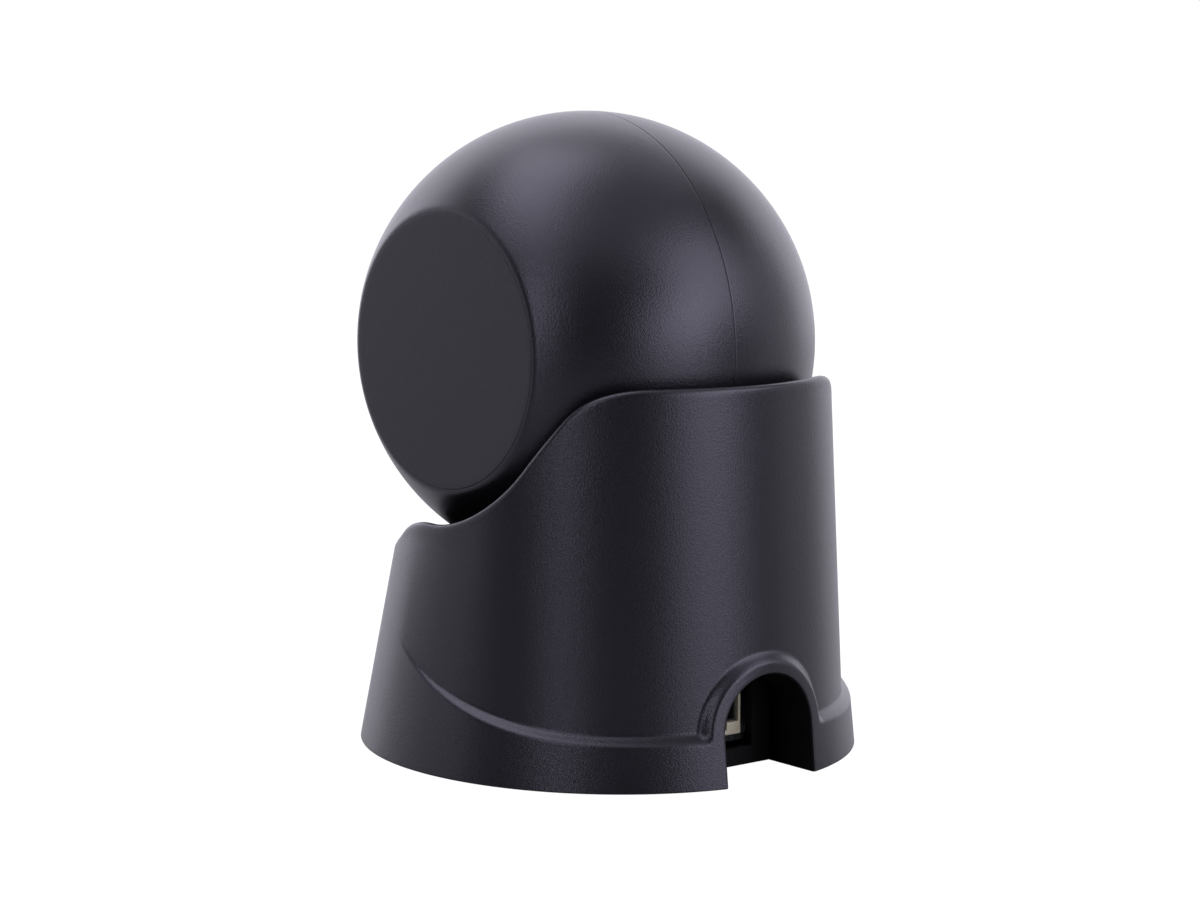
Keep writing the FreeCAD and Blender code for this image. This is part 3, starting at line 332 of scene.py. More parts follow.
def new_piece(name, mesh):
    piece = bpy.data.objects.new(name, mesh)
    bpy.context.scene.collection.objects.link(piece)
    return piece


def from_bmesh(name, bm):
    mesh = bpy.data.meshes.new(name)
    bm.to_mesh(mesh)
    bm.free()
    return new_piece(name, mesh)


def settle(piece, smooth_angle=35):
    """Apply a piece's modifiers and shade it smooth up to an angle."""
    graph = bpy.context.evaluated_depsgraph_get()
    mesh = bpy.data.meshes.new_from_object(piece.evaluated_get(graph))
    mesh.name = piece.name
    piece.modifiers.clear()
    old, piece.data = piece.data, mesh
    bpy.data.meshes.remove(old)
    mesh.shade_smooth()
    mesh.set_sharp_from_angle(angle=math.radians(smooth_angle))
    return piece


def solidify(piece, thickness):
    modifier = piece.modifiers.new("wall", "SOLIDIFY")
    modifier.thickness = thickness
    modifier.offset = -1
    modifier.use_even_offset = True


def bevel(piece, width):
    """Round the edges that turn by more than 50 degrees."""
    modifier = piece.modifiers.new("edges", "BEVEL")
    modifier.width = width
    modifier.segments = 2
    modifier.limit_method = "ANGLE"
    modifier.angle_limit = math.radians(50)


def carve(piece, cutter):
    """Cut a closed piece with another and drop the cutter."""
    modifier = piece.modifiers.new("carve", "BOOLEAN")
    modifier.operation = "DIFFERENCE"
    modifier.solver = "EXACT"
    modifier.object = cutter
    graph = bpy.context.evaluated_depsgraph_get()
    mesh = bpy.data.meshes.new_from_object(piece.evaluated_get(graph))
    piece.modifiers.clear()
    piece.data = mesh
    bpy.data.objects.remove(cutter)


def box_piece(name, lowest, highest):
    bm = bmesh.new()
    middle = (Vector(lowest) + Vector(highest)) / 2
    size = Vector(highest) - Vector(lowest)
    bmesh.ops.create_cube(
        bm, size=1, matrix=Matrix.Translation(middle) @ Matrix.Diagonal((*size, 1)))
    return from_bmesh(name, bm)


def sweep(bm, section, start, end, steps, middle=Vector()):
    """Sweep a closed section of x and radius pairs round X, in degrees from straight down."""
    rings = []
    for step in range(steps + 1):
        turn = math.radians(start + (end - start) * step / steps)
        rings.append([
            bm.verts.new(middle + Vector(
                (x, radius * math.sin(turn), -radius * math.cos(turn))))
            for x, radius in section
        ])
    for here, following in zip(rings, rings[1:]):
        for index, first in enumerate(here):
            after = (index + 1) % len(section)
            bm.faces.new((first, here[after], following[after], following[index]))
    bm.faces.new(rings[0][::-1])
    bm.faces.new(rings[-1])
    bmesh.ops.recalc_face_normals(bm, faces=bm.faces)


def lathe(name, profile, turn, count=160):
    """Turn a closed profile of radius and height pairs round Z, then place it with turn."""
    bm = bmesh.new()
    rings = []
    for step in range(count):
        around = 2 * math.pi * step / count
        rings.append([
            bm.verts.new(turn @ Vector((radius * math.cos(around), radius * math.sin(around), up)))
            for radius, up in profile
        ])
    for step in range(count):
        here, following = rings[step], rings[(step + 1) % count]
        for index in range(len(profile)):
            after = (index + 1) % len(profile)
            bm.faces.new((here[index], following[index], following[after], here[after]))
    bmesh.ops.remove_doubles(bm, verts=bm.verts, dist=0.002 * MM)
    bmesh.ops.dissolve_degenerate(bm, edges=bm.edges, dist=0.001 * MM)
    bmesh.ops.recalc_face_normals(bm, faces=bm.faces)
    return from_bmesh(name, bm)


def quarter(centre, radius, start, end, steps=6):
    """Points of an arc in a profile, angles in degrees."""
    turns = [math.radians(start + (end - start) * step / steps) for step in range(steps + 1)]
    return [(centre[0] + radius * math.cos(turn), centre[1] + radius * math.sin(turn))
            for turn in turns]


# --- geometry-node helpers


class Field:
    """A number in a node tree, whose sums are made as nodes."""

    def __init__(self, tree, socket):
        self.tree = tree
        self.socket = socket

    def sum(self, operation, *others):
        node = self.tree.nodes.new("ShaderNodeMath")
        node.operation = operation
        for number, item in enumerate((self, *others)):
            if isinstance(item, Field):
                self.tree.links.new(item.socket, node.inputs[number])
            else:
                node.inputs[number].default_value = item
        return Field(self.tree, node.outputs[0])

    def __add__(self, other):
        return self.sum("ADD", other)

    def __sub__(self, other):
        return self.sum("SUBTRACT", other)

    def __mul__(self, other):
        return self.sum("MULTIPLY", other)

    def __truediv__(self, other):
        return self.sum("DIVIDE", other)

    def soft_min(self, other, softness):
        return self.sum("SMOOTH_MIN", other, softness)


def new_tree(name, **inputs):
    """A geometry tree with a geometry output and named inputs, listed by their kind."""
    tree = bpy.data.node_groups.new(name, "GeometryNodeTree")
    tree.interface.new_socket("Geometry", in_out="OUTPUT", socket_type="NodeSocketGeometry")
    for kind, labels in inputs.items():
        for label in labels:
            tree.interface.new_socket(
                label, in_out="INPUT", socket_type="NodeSocket" + kind)
    entry = tree.nodes.new("NodeGroupInput")
    leave = tree.nodes.new("NodeGroupOutput")
    return tree, entry, leave


def end_tree(tree, leave, geometry, material_socket):
    """Realize the instances, set the material and leave the tree."""
    real = add(tree, "GeometryNodeRealizeInstances", {0: geometry})
    painted = add(tree, "GeometryNodeSetMaterial",
                  {"Geometry": real.outputs[0], "Material": material_socket})
    tree.links.new(painted.outputs[0], leave.inputs[0])


def grown(name, tree, values):
    """Run a geometry tree with its inputs set, and keep the result as a plain mesh."""
    piece = new_piece(name, bpy.data.meshes.new(name))
    modifier = piece.modifiers.new("grow", "NODES")
    modifier.node_group = tree
    sockets = {
        item.name: item.identifier
        for item in tree.interface.items_tree
        if item.item_type == "SOCKET" and item.in_out == "INPUT"
    }
    for label, value in values.items():
        modifier[sockets[label]] = value
    return settle(piece)


# --- cradle shape


class CradleShape:
    """The base moulding's outer skin as a radius round the tube's axis."""

    bottom = BASE_LOW.z
    bottom_rounding = 0.3 * MM
    belt_softness = (0.5 * MM, 3.4 * MM)
    belt_run = 1.1
    belt_sweep = 110 * MM
    belt_level_y = 50 * MM
    belt_level_z = 11.6 * MM
    belt_top = 50 * MM
    belt_front = -12 * MM
    crease_softness = 1.2 * MM
    crease_lean = math.tan(math.radians(5.5))
    crease_y = -7.6 * MM
    crease_z = 28 * MM
    flank_reach = 34 * MM
    arch_middle = -0.5 * MM
    arch_zone = 40 * MM
    band_softness = 3.0 * MM
    lip_rounding = 0.7 * MM

    def __init__(self):
        self.size = settings("cradle")
        self.rim_top = BASE_HIGH.z
        self.arch_edge = self.size.arch_half_width + self.lip_rounding
        self.band_edge = self.size.arch_half_width + self.size.arch_band

    def tube(self, z):
        return self.size.tube_radius - self.size.tube_taper * z

    def apron(self, angle, z):
        """Radius of the ruled apron, an ellipse at every height."""
        size = self.size
        top = self.tube(size.apron_height)
        share = z / size.apron_height
        half_x = size.foot_half_width + (top - size.foot_half_width) * share
        half_y = size.foot_front + (top - size.foot_front) * share
        back = size.tube_shift * (1 - share)
        cosine, sine = np.cos(angle), np.sin(angle)
        a = (cosine / half_x) ** 2 + (sine / half_y) ** 2
        b = 2 * sine * back / half_y ** 2
        c = (back / half_y) ** 2 - 1
        return (-b + np.sqrt(np.maximum(b * b - 4 * a * c, 0))) / (2 * a)

    @staticmethod
    def smooth(value, softness):
        share = np.clip(value / softness + 0.5, 0, 1)
        return share * share * (3 - 2 * share)

    def belt(self, y, z):
        """Signed distance below the flange's upper line, an arc that levels off at the back."""
        sweep = self.belt_sweep
        ahead = np.clip(self.belt_level_y - y, 0, 0.8 * sweep)
        drop = np.sqrt(sweep ** 2 - ahead ** 2)
        return (self.belt_level_z + sweep - drop - z) * drop / sweep

    def flank(self, y, z):
        """How far the side wall still runs out with the apron: fully up to the crease."""
        behind = y - self.crease_y - (z - self.crease_z) * self.crease_lean
        behind = (behind + np.sqrt(behind ** 2 + self.crease_softness ** 2)) / 2
        return np.clip(1 - behind / self.flank_reach, 0, 1) ** 1.5

    def arch(self, x, z):
        """Distance from the arch's middle line, which bends over at its straight's top."""
        return np.hypot(x - self.arch_middle, np.maximum(z - self.size.arch_straight, 0))

    def skin(self, angle, z):
        """Outer radius round the tube's axis."""
        tube = self.tube(z)
        x = tube * np.cos(angle)
        y = self.size.tube_shift + tube * np.sin(angle)
        step = np.maximum(self.apron(angle, np.minimum(z, self.size.apron_height)) - tube, 0)
        step = np.where(z < self.size.apron_height, step, 0)
        flank = self.flank(y, z)
        softness = np.clip(self.belt_run * step * (1 - flank), *self.belt_softness)
        belt = self.smooth(self.belt(y, z), softness)
        band = self.smooth(self.band_edge - self.arch(x, z), self.band_softness)
        band = np.where(y > 0, band, 0)
        radius = tube + step * (1 - (1 - belt) * (1 - band) * (1 - flank))
        rise = np.clip(1 - (z - self.bottom) / self.bottom_rounding, 0, 1)
        return radius - self.bottom_rounding * (1 - np.sqrt(1 - rise ** 2))

    def rim(self, y):
        """Height of the rim: low in front, up over a brow, then swept to the tall back."""
        front, side, top = 44 * MM, 56.5 * MM, self.rim_top
        bowl, brow, sweep, crest = 70 * MM, 30 * MM, 33.4 * MM, 16 * MM
        fall = math.acos(1 - (side - front) / (bowl + brow))
        steep = math.radians(55)
        brow_y = -1 * MM
        bowl_y = brow_y - (brow + bowl) * math.sin(fall)
        meet_y = brow_y - brow * math.sin(fall)
        climb_y = sweep * math.sin(steep)
        climb_z = side + sweep * (1 - math.cos(steep))
        over_z = top - crest + crest * math.cos(steep)
        over_y = climb_y + (over_z - climb_z) / math.tan(steep)
        crest_y = over_y + crest * math.sin(steep)

        def arc(radius, middle):
            return np.sqrt(np.maximum(radius ** 2 - (y - middle) ** 2, 0))

        return np.select(
            [y < bowl_y, y < meet_y, y < brow_y, y < 0, y < climb_y, y < over_y, y < crest_y],
            [
                front,
                front + bowl - arc(bowl, bowl_y),
                side - brow + arc(brow, brow_y),
                side,
                side + sweep - arc(sweep, 0),
                climb_z + (y - climb_y) * math.tan(steep),
                top - crest + arc(crest, crest_y),
            ],
            top,
        )

    def point(self, angle, z):
        radius = self.skin(angle, z)
        return np.stack([
            radius * np.cos(angle), self.size.tube_shift + radius * np.sin(angle), z
        ], axis=-1)

    def onto_skin(self, places):
        """Move points along their radius onto the skin."""
        angle = np.arctan2(places[:, 1] - self.size.tube_shift, places[:, 0])
        return self.point(angle, places[:, 2])

    def behind(self, x, z):
        """Y of the skin at the back, over a point in the back view."""
        y = self.size.tube_shift + self.tube(z)
        for _ in range(12):
            angle = np.arctan2(y - self.size.tube_shift, x)
            radius = self.skin(angle, z)
            y = self.size.tube_shift + np.sqrt(np.maximum(radius ** 2 - x ** 2, 0))
        return y

    def on_outline(self, x, z, distance):
        """The nearest point at a distance from the arch's middle line."""
        spring, middle = self.size.arch_straight, self.arch_middle
        across = x - middle
        if z <= spring:
            return middle + math.copysign(distance, across), z
        share = distance / math.hypot(across, z - spring)
        return middle + across * share, spring + (z - spring) * share


def cradle_grid(shape, columns=300, rows=62):
    """The skin as a grid that follows the rim, before anything is cut from it."""
    mean_rim = 75 * MM
    bm = bmesh.new()
    angles = np.linspace(0, 2 * math.pi, columns, endpoint=False) + math.pi / 2
    rims = shape.rim(shape.size.tube_shift + shape.tube(mean_rim) * np.sin(angles))
    low_rows = np.array([0, 0.08, 0.22, 0.42, 0.68, 1.0, 1.5, 2.2]) * MM
    shares = np.linspace(0, 1, rows)[1:]
    grid = []
    last_row = 1.9 * shape.size.lip
    start = shape.bottom + low_rows[-1]
    for turn, rim in zip(angles, rims):
        risen = start + (rim - last_row - start) * shares
        heights = np.concatenate([shape.bottom + low_rows, risen, [rim]])
        places = shape.point(np.full_like(heights, turn), heights)
        grid.append([bm.verts.new(place) for place in places])
    for column in range(columns):
        here, following = grid[column], grid[(column + 1) % columns]
        for row in range(len(here) - 1):
            bm.faces.new((here[row], following[row], following[row + 1], here[row + 1]))
    return bm


def refine(bm, shape, margin):
    """Split the faces near the belt and the arch, and put the new corners on the skin."""
    faces = list(bm.faces)
    middles = np.array([face.calc_center_median() for face in faces])
    x, y, z = middles.T
    belt = np.abs(shape.belt(y, z)) < margin
    belt &= (z < shape.belt_top) & (y > shape.belt_front)
    arch = shape.arch(x, z)
    band = (np.abs(arch - shape.band_edge) < margin) | (np.abs(arch - shape.arch_edge) < margin)
    band &= (y > 0) & (z < shape.arch_zone)
    edges = set()
    for face, wanted in zip(faces, belt | band):
        if wanted:
            edges.update(face.edges)
    bmesh.ops.subdivide_edges(bm, edges=list(edges), cuts=1, use_grid_fill=True)
    places = shape.onto_skin(np.array([vert.co for vert in bm.verts]))
    for vert, place in zip(bm.verts, places):
        vert.co = place


def open_arch(bm, shape, steps=6, wall_rows=6):
    """Cut the doorway, round its edge and run its wall back to the pocket's back."""
    near_edge, past_edge, edge_zone = 0.12 * MM, -0.02 * MM, 0.9 * MM

    def reach(vert):
        if vert.co.y < 0:
            return 1.0
        return float(shape.arch(vert.co.x, vert.co.z)) - shape.arch_edge

    def snap(vert):
        x, z = shape.on_outline(vert.co.x, vert.co.z, shape.arch_edge)
        vert.co = (x, float(shape.behind(x, z)), z)

    for vert in bm.verts:
        if abs(reach(vert)) < near_edge:
            snap(vert)
    doomed = [
        face for face in bm.faces if any(reach(vert) < past_edge for vert in face.verts)
    ]
    bmesh.ops.delete(bm, geom=doomed, context="FACES")
    edges = [
        edge for edge in bm.edges
        if edge.is_boundary and all(reach(vert) < edge_zone for vert in edge.verts)
        and not all(vert.co.z < shape.bottom + 0.01 * MM for vert in edge.verts)
    ]
    corners = {vert for edge in edges for vert in edge.verts}
    for vert in corners:
        snap(vert)
    turns = [math.pi / 2 * step / steps for step in range(1, steps + 1)]
    offsets = [(shape.arch_edge - shape.lip_rounding * math.sin(turn),
                shape.lip_rounding * (1 - math.cos(turn))) for turn in turns]
    chains = {}
    for vert in corners:
        chain = [vert]
        for distance, depth in offsets:
            x, z = shape.on_outline(vert.co.x, vert.co.z, distance)
            chain.append(bm.verts.new((x, float(shape.behind(x, z)) - depth, z)))
        last = chain[-1].co.copy()
        for row in range(1, wall_rows + 1):
            y = last.y + (shape.size.pocket_back - last.y) * row / wall_rows
            chain.append(bm.verts.new((last.x, y, last.z)))
        chains[vert] = chain
    for edge in edges:
        loop = next(loop for loop in edge.link_faces[0].loops if loop.edge == edge)
        one, two = chains[loop.link_loop_next.vert], chains[loop.vert]
        for row in range(len(one) - 1):
            bm.faces.new((one[row], two[row], two[row + 1], one[row + 1]))


def pocket_back_sheet(bm, shape, count=180, squareness=60):
    """The pocket's back wall, with a square-cornered window for the socket."""
    half_x, sill, lintel = 8.0 * MM, 4.4 * MM, 21.6 * MM
    centre_z, half_z = (sill + lintel) / 2, (lintel - sill) / 2
    y = shape.size.pocket_back
    outer_half = shape.size.arch_half_width + 0.3 * MM
    farthest, stride = 60 * MM, 0.05 * MM
    rings = []
    for step in range(count):
        turn = 2 * math.pi * step / count
        cosine, sine = math.cos(turn), math.sin(turn)
        steep = abs(cosine / half_x) ** squareness + abs(sine / half_z) ** squareness
        size = steep ** (-1 / squareness)
        inner = (size * cosine, centre_z + size * sine)
        reach = size
        while reach < farthest:
            x, z = reach * cosine, centre_z + reach * sine
            if z < shape.bottom or shape.arch(x, z) > outer_half:
                break
            reach += stride
        outer = (reach * cosine, max(shape.bottom, centre_z + reach * sine))
        rings.append([
            bm.verts.new((
                inner[0] + (outer[0] - inner[0]) * share, y,
                inner[1] + (outer[1] - inner[1]) * share,
            ))
            for share in (0, 0.5, 1)
        ])
    for step in range(count):
        here, following = rings[step], rings[(step + 1) % count]
        for row in range(2):
            bm.faces.new((here[row], here[row + 1], following[row + 1], following[row]))


def make_cradle():
    shape = CradleShape()
    bm = cradle_grid(shape)
    for margin in (3.0 * MM, 2.2 * MM):
        refine(bm, shape, margin)
    open_arch(bm, shape)
    pocket_back_sheet(bm, shape)
    bmesh.ops.recalc_face_normals(bm, faces=bm.faces)
    cradle = from_bmesh("cradle_shell", bm)
    solidify(cradle, shape.size.wall)
    settle(cradle, 50)
    round_rim(cradle, shape)
    finish(cradle, "shell", "black_shell", "base", "base_shell")
    # painted shade: the pocket's inner faces get a darkened copy of the shell finish
    paint_pocket_shade(cradle, shape)


def round_rim(cradle, shape):
    """Round both edges of the rim's top face."""
    near_rim, steep = 1.6 * MM, math.radians(60)
    bm = bmesh.new()
    bm.from_mesh(cradle.data)
    edges = []
    for edge in bm.edges:
        middle = (edge.verts[0].co + edge.verts[1].co) / 2
        near = abs(middle.z - float(shape.rim(middle.y))) < near_rim
        if near and len(edge.link_faces) == 2 and edge.calc_face_angle() > steep:
            edges.append(edge)
    bmesh.ops.bevel(bm, geom=edges, offset=shape.size.lip, segments=4, profile=0.5,
                    affect="EDGES", clamp_overlap=False)
    bm.to_mesh(cradle.data)
    bm.free()
    cradle.data.shade_smooth()
    cradle.data.set_sharp_from_angle(angle=math.radians(50))


def paint_pocket_shade(cradle, shape):
    """Give the pocket's inner faces a dull, nearly untextured finish whose darker colour is
    painted shade for the pocket's recess.
    """
    cradle.data.materials.append(FINISH["pocket"])
    for face in cradle.data.polygons:
        x, y, z = face.center
        inside = float(shape.arch(x, z)) < shape.arch_edge - 0.5 * shape.lip_rounding
        if y > shape.arch_zone and inside and z < shape.arch_zone:
            face.material_index = 1


# --- ball shape


def ball_tree():
    """A half shell's skin: a soft meeting of ball, side disc and front, round a disc's axis."""
    tree, entry, leave = new_tree(
        "ball_half",
        Float=("Radius", "Disc Distance", "Disc Turn", "Softness", "Inner Angle",
               "Front Distance", "Seam", "Side"),
        Int=("Columns", "Rows"),
        Material=("Material",),
    )

    least_cosine, front_softness, join_distance = 0.05, 0.5, 0.002 * MM

    def given(label):
        return Field(tree, entry.outputs[label])

    grid = add(tree, "GeometryNodeMeshGrid", {
        "Size X": 1.0, "Size Y": 1.0,
        "Vertices X": entry.outputs["Columns"], "Vertices Y": entry.outputs["Rows"],
    })
    place = add(tree, "ShaderNodeSeparateXYZ",
                {0: add(tree, "GeometryNodeInputPosition").outputs[0]})
    around = (Field(tree, place.outputs[0]) + 0.5) * (2 * math.pi)
    outward = Field(tree, place.outputs[1]) + 0.5
    turn = given("Disc Turn")
    cos_turn, sin_turn = turn.sum("COSINE"), turn.sum("SINE")
    cos_around, sin_around = around.sum("COSINE"), around.sum("SINE")
    seam_turn = cos_turn.sum("ARCTAN2", sin_turn * cos_around)
    polar = given("Inner Angle") + (seam_turn - given("Inner Angle")) * outward
    cos_polar, sin_polar = polar.sum("COSINE"), polar.sum("SINE")
    ray_x = cos_turn * cos_polar - sin_turn * cos_around * sin_polar
    ray_y = sin_turn * cos_polar + cos_turn * cos_around * sin_polar
    ray_z = sin_around * sin_polar
    to_disc = given("Disc Distance") / cos_polar.sum("MAXIMUM", least_cosine)
    ahead = (ray_y * -1.0).sum("MAXIMUM", least_cosine)
    to_front = given("Front Distance") / ahead
    reach = given("Radius").soft_min(to_disc, given("Softness"))
    reach = reach.soft_min(to_front, given("Softness") * front_softness)
    x = (ray_x * reach).sum("MAXIMUM", given("Seam")) * given("Side")
    parts = add(tree, "ShaderNodeCombineXYZ",
                {0: x.socket, 1: (ray_y * reach).socket, 2: (ray_z * reach).socket})
    moved = add(tree, "GeometryNodeSetPosition",
                {"Geometry": grid.outputs["Mesh"], "Position": parts.outputs[0]})
    merged = add(tree, "GeometryNodeMergeByDistance",
                 {"Geometry": moved.outputs[0], "Distance": join_distance})
    end_tree(tree, leave, merged.outputs[0], entry.outputs["Material"])
    return tree


def tilt_slot_cutter():
    """The arc-shaped slot that the post passes through, as a closed cutter."""
    half, inner, outer = 4.2 * MM, 50 * MM, 58 * MM
    reach = 19.6
    bm = bmesh.new()
    section = ((-half, inner), (half, inner), (half, outer), (-half, outer))
    sweep(bm, section, -reach, reach, 12)
    return from_bmesh("slot_cutter", bm)


def make_half_shell(tree, side, name, node):
    size = settings("ball")
    recess = size.cover_radius + 0.08 * MM
    shell = grown(name, tree, {
        "Radius": BALL_RADIUS,
        "Disc Distance": size.disc_distance,
        "Disc Turn": size.disc_turn,
        "Softness": size.disc_softness,
        "Inner Angle": math.atan2(recess, size.disc_distance),
        "Front Distance": size.window_distance,
        "Seam": size.seam_gap / 2,
        "Side": float(side),
        "Columns": 289,
        "Rows": 96,
        "Material": FINISH["shell"],
    })
    bm = bmesh.new()
    bm.from_mesh(shell.data)
    bmesh.ops.recalc_face_normals(bm, faces=bm.faces)
    outward = sum((face.normal.dot(face.calc_center_median()) for face in bm.faces), 0.0)
    if outward < 0:
        bmesh.ops.reverse_faces(bm, faces=bm.faces)
    bm.to_mesh(shell.data)
    bm.free()
    solidify(shell, size.wall)
    settle(shell)
    opening, depth = size.window_radius + 0.1 * MM, 30 * MM
    carve(shell, lathe(
        "front_cutter", [(0, 0), (opening, 0), (opening, depth), (0, depth)],
        Matrix.Translation((0, -depth, 0)) @ Matrix.Rotation(math.pi / 2, 4, "X"), 96))
    carve(shell, tilt_slot_cutter())
    shell.data.transform(Matrix.Translation(BALL_MIDDLE))
    bevel(shell, 0.07 * MM)
    settle(shell, 40)
    finish(shell, "shell", "black_shell", "head", node)


def make_seam_tongue():
    """The tongue that bridges the seam inside the half shells, clear of window and slot."""
    size = settings("ball")
    outer = BALL_RADIUS - size.wall - 0.1 * MM
    foot, fin = 1.5 * MM, 0.3 * size.seam_gap
    below, fin_top = outer - 0.8 * MM, BALL_RADIUS - 0.35 * MM
    section = [(-foot, outer), (-fin, outer), (-fin, fin_top), (fin, fin_top),
               (fin, outer), (foot, outer), (foot, below), (-foot, below)]
    over_the_top, under_the_window = (32, 228, 98), (312, 328, 8)
    bm = bmesh.new()
    for stretch in (over_the_top, under_the_window):
        sweep(bm, section, *stretch, BALL_MIDDLE)
    finish(settle(from_bmesh("seam_tongue", bm), 40), "bench", "black_shell", "head")


def facing(turn, distance):
    """Stand a lathed piece off the ball's middle, turned from facing up."""
    return Matrix.Translation(BALL_MIDDLE) @ turn @ Matrix.Translation((0, 0, distance))


def make_cover(side, name, node):
    """A side disc's cover: flat, with a rounded outer edge."""
    size = settings("ball")
    radius, thickness, edge = size.cover_radius, 2.0 * MM, 0.2 * MM
    profile = [(0, 0), (radius, 0)]
    profile += quarter((radius - edge, thickness - edge), edge, 0, 90)
    profile += [((radius - edge) * share, thickness)
                for share in (0.96, 0.9, 0.8, 0.6, 0.4, 0.2, 0)]
    turn = (Matrix.Rotation(side * size.disc_turn, 4, "Z")
            @ Matrix.Rotation(side * math.pi / 2, 4, "Y"))
    place = facing(turn, size.disc_distance - thickness)
    cover = settle(lathe(name, profile, place, 200), 40)
    finish(cover, "disc", "side_disc", "head", node)


def make_bezel():
    size = settings("ball")
    inner, outer = size.window_radius - 1.2 * MM, size.window_radius + 3.2 * MM
    thickness, edge = 1.0 * MM, 0.4 * MM
    profile = [(inner, 0), (outer, 0)]
    profile += quarter((outer - edge, thickness - edge), edge, 0, 90, 5)
    profile += quarter((inner + edge, thickness - edge), edge, 90, 180, 5)
    place = facing(Matrix.Rotation(math.pi / 2, 4, "X"), size.window_distance)
    ring = settle(lathe("front_bezel", profile, place, 200), 40)
    finish(ring, "bezel", "bezel", "head", "window_bezel")


# --- interface socket


def make_socket():
    """The modular socket: a stepped mouth with a latch channel and rounded edges."""
    front, outside = JACK_HIGH.y, JACK_HIGH.y + 1
    half = (JACK_HIGH.x - JACK_LOW.x) / 2 - 0.8 * MM
    floor, ceiling = JACK_LOW.z + 3.0 * MM, JACK_HIGH.z - 2.4 * MM
    mouth = (half, 12.5 * MM, floor, ceiling)
    latch_head = (2.7 * MM, 10 * MM, JACK_LOW.z + 1.1 * MM, floor + 1 * MM)
    latch_channel = (2.0 * MM, 8 * MM, JACK_LOW.z + 0.7 * MM, floor)
    socket = box_piece("modular_socket", JACK_LOW, JACK_HIGH)
    for across, depth, lowest, highest in (mouth, latch_head, latch_channel):
        carve(socket, box_piece("mouth_cutter", (-across, front - depth, lowest),
                                (across, outside, highest)))
    bevel(socket, 0.22 * MM)
    finish(settle(socket), "ivory", "jack_ivory", "base", "interface_jack")
    # painted shade: a black liner darkens the socket's mouth
    make_socket_shade_liner(half, front, floor, ceiling)


def make_socket_shade_liner(half, front, floor, ceiling):
    """A black liner inside the socket's mouth: painted shade, a dark box standing where the mouth
    is only in shade.
    """
    gap, wall = 0.05 * MM, 0.45 * MM
    back, lip = front - 12.4 * MM, front - 0.9 * MM
    liner = box_piece("socket_shade_liner", (-half + gap, back, floor + gap),
                      (half - gap, lip, ceiling - gap))
    carve(liner, box_piece("shade_liner_cutter", (-half + wall, back + 1 * MM, floor + wall),
                           (half - wall, lip + 1 * MM, ceiling - wall)))
    bevel(liner, 0.12 * MM)
    finish(settle(liner), "bench", "bench_black", "base")


def contact_tree():
    """A row of bent contact wires, set out at even pitch."""
    tree, entry, leave = new_tree(
        "contact_row",
        Int=("Count",),
        Float=("Pitch", "Run", "Drop", "Wire"),
        Vector=("Start",),
        Material=("Material",),
    )
    run, drop = Field(tree, entry.outputs["Run"]), Field(tree, entry.outputs["Drop"])
    knee = add(tree, "ShaderNodeCombineXYZ", {1: (run * -0.75).socket, 2: (drop * -1.0).socket})
    tail = add(tree, "ShaderNodeCombineXYZ", {1: (run * -1.0).socket, 2: (drop * -0.1).socket})
    wire = add(tree, "GeometryNodeCurveQuadraticBezier",
               {"Resolution": 8, "Start": (0, 0, 0), "Middle": knee.outputs[0],
                "End": tail.outputs[0]})
    section = add(tree, "GeometryNodeCurvePrimitiveQuadrilateral",
                  {"Width": entry.outputs["Wire"], "Height": entry.outputs["Wire"]})
    solid = add(tree, "GeometryNodeCurveToMesh",
                {"Curve": wire.outputs[0], "Profile Curve": section.outputs[0],
                 "Fill Caps": True})
    step = add(tree, "ShaderNodeCombineXYZ", {0: entry.outputs["Pitch"]})
    row = add(tree, "GeometryNodeMeshLine",
              {"Count": entry.outputs["Count"], "Start Location": entry.outputs["Start"],
               "Offset": step.outputs[0]})
    copies = add(tree, "GeometryNodeInstanceOnPoints",
                 {"Points": row.outputs[0], "Instance": solid.outputs[0]})
    end_tree(tree, leave, copies.outputs[0], entry.outputs["Material"])
    return tree


def make_contacts():
    lowest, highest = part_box("jack_contacts")
    count, inset = 10, 0.2 * MM
    wires = grown("socket_wires", contact_tree(), {
        "Count": count,
        "Pitch": (highest.x - lowest.x - 2 * inset) / (count - 1),
        "Start": (lowest.x + inset, highest.y, highest.z - 0.1 * MM),
        "Run": highest.y - lowest.y,
        "Drop": 2.4 * MM,
        "Wire": 0.36 * MM,
        "Material": FINISH["brass"],
    })
    finish(wires, "brass", "brass", "base", "jack_contacts")


# --- stage


def make_floor():
    """A pale sheet of paper that the camera sees as lit, under the object's shadow."""
    half_size, glow_strength, glow_share = 12.0, 1.12, 0.9
    bm = bmesh.new()
    bmesh.ops.create_grid(bm, x_segments=8, y_segments=8, size=half_size)
    floor = from_bmesh("floor", bm)
    material, tree, shader, where = new_material("floor_paper")
    white = settings("finish").floor
    fibre = noise(tree, where, 220.0, 3.0)
    paper = tint(tree, fibre, shade(white, 0.36), shade(white, 0.40))
    tree.links.new(paper, shader.inputs["Base Color"])
    shader.inputs["Roughness"].default_value = 0.16
    seen = add(tree, "ShaderNodeLightPath")
    glow = add(tree, "ShaderNodeEmission",
               {"Color": (*white, 1), "Strength": glow_strength})
    shadow = add(tree, "ShaderNodeMixShader",
                 {0: glow_share, 1: shader.outputs[0], 2: glow.outputs[0]})
    mix = add(tree, "ShaderNodeMixShader",
              {0: seen.outputs["Is Camera Ray"], 1: shader.outputs[0], 2: shadow.outputs[0]})
    tree.links.new(mix.outputs[0], tree.nodes["Material Output"].inputs[0])
    floor.data.materials.append(material)


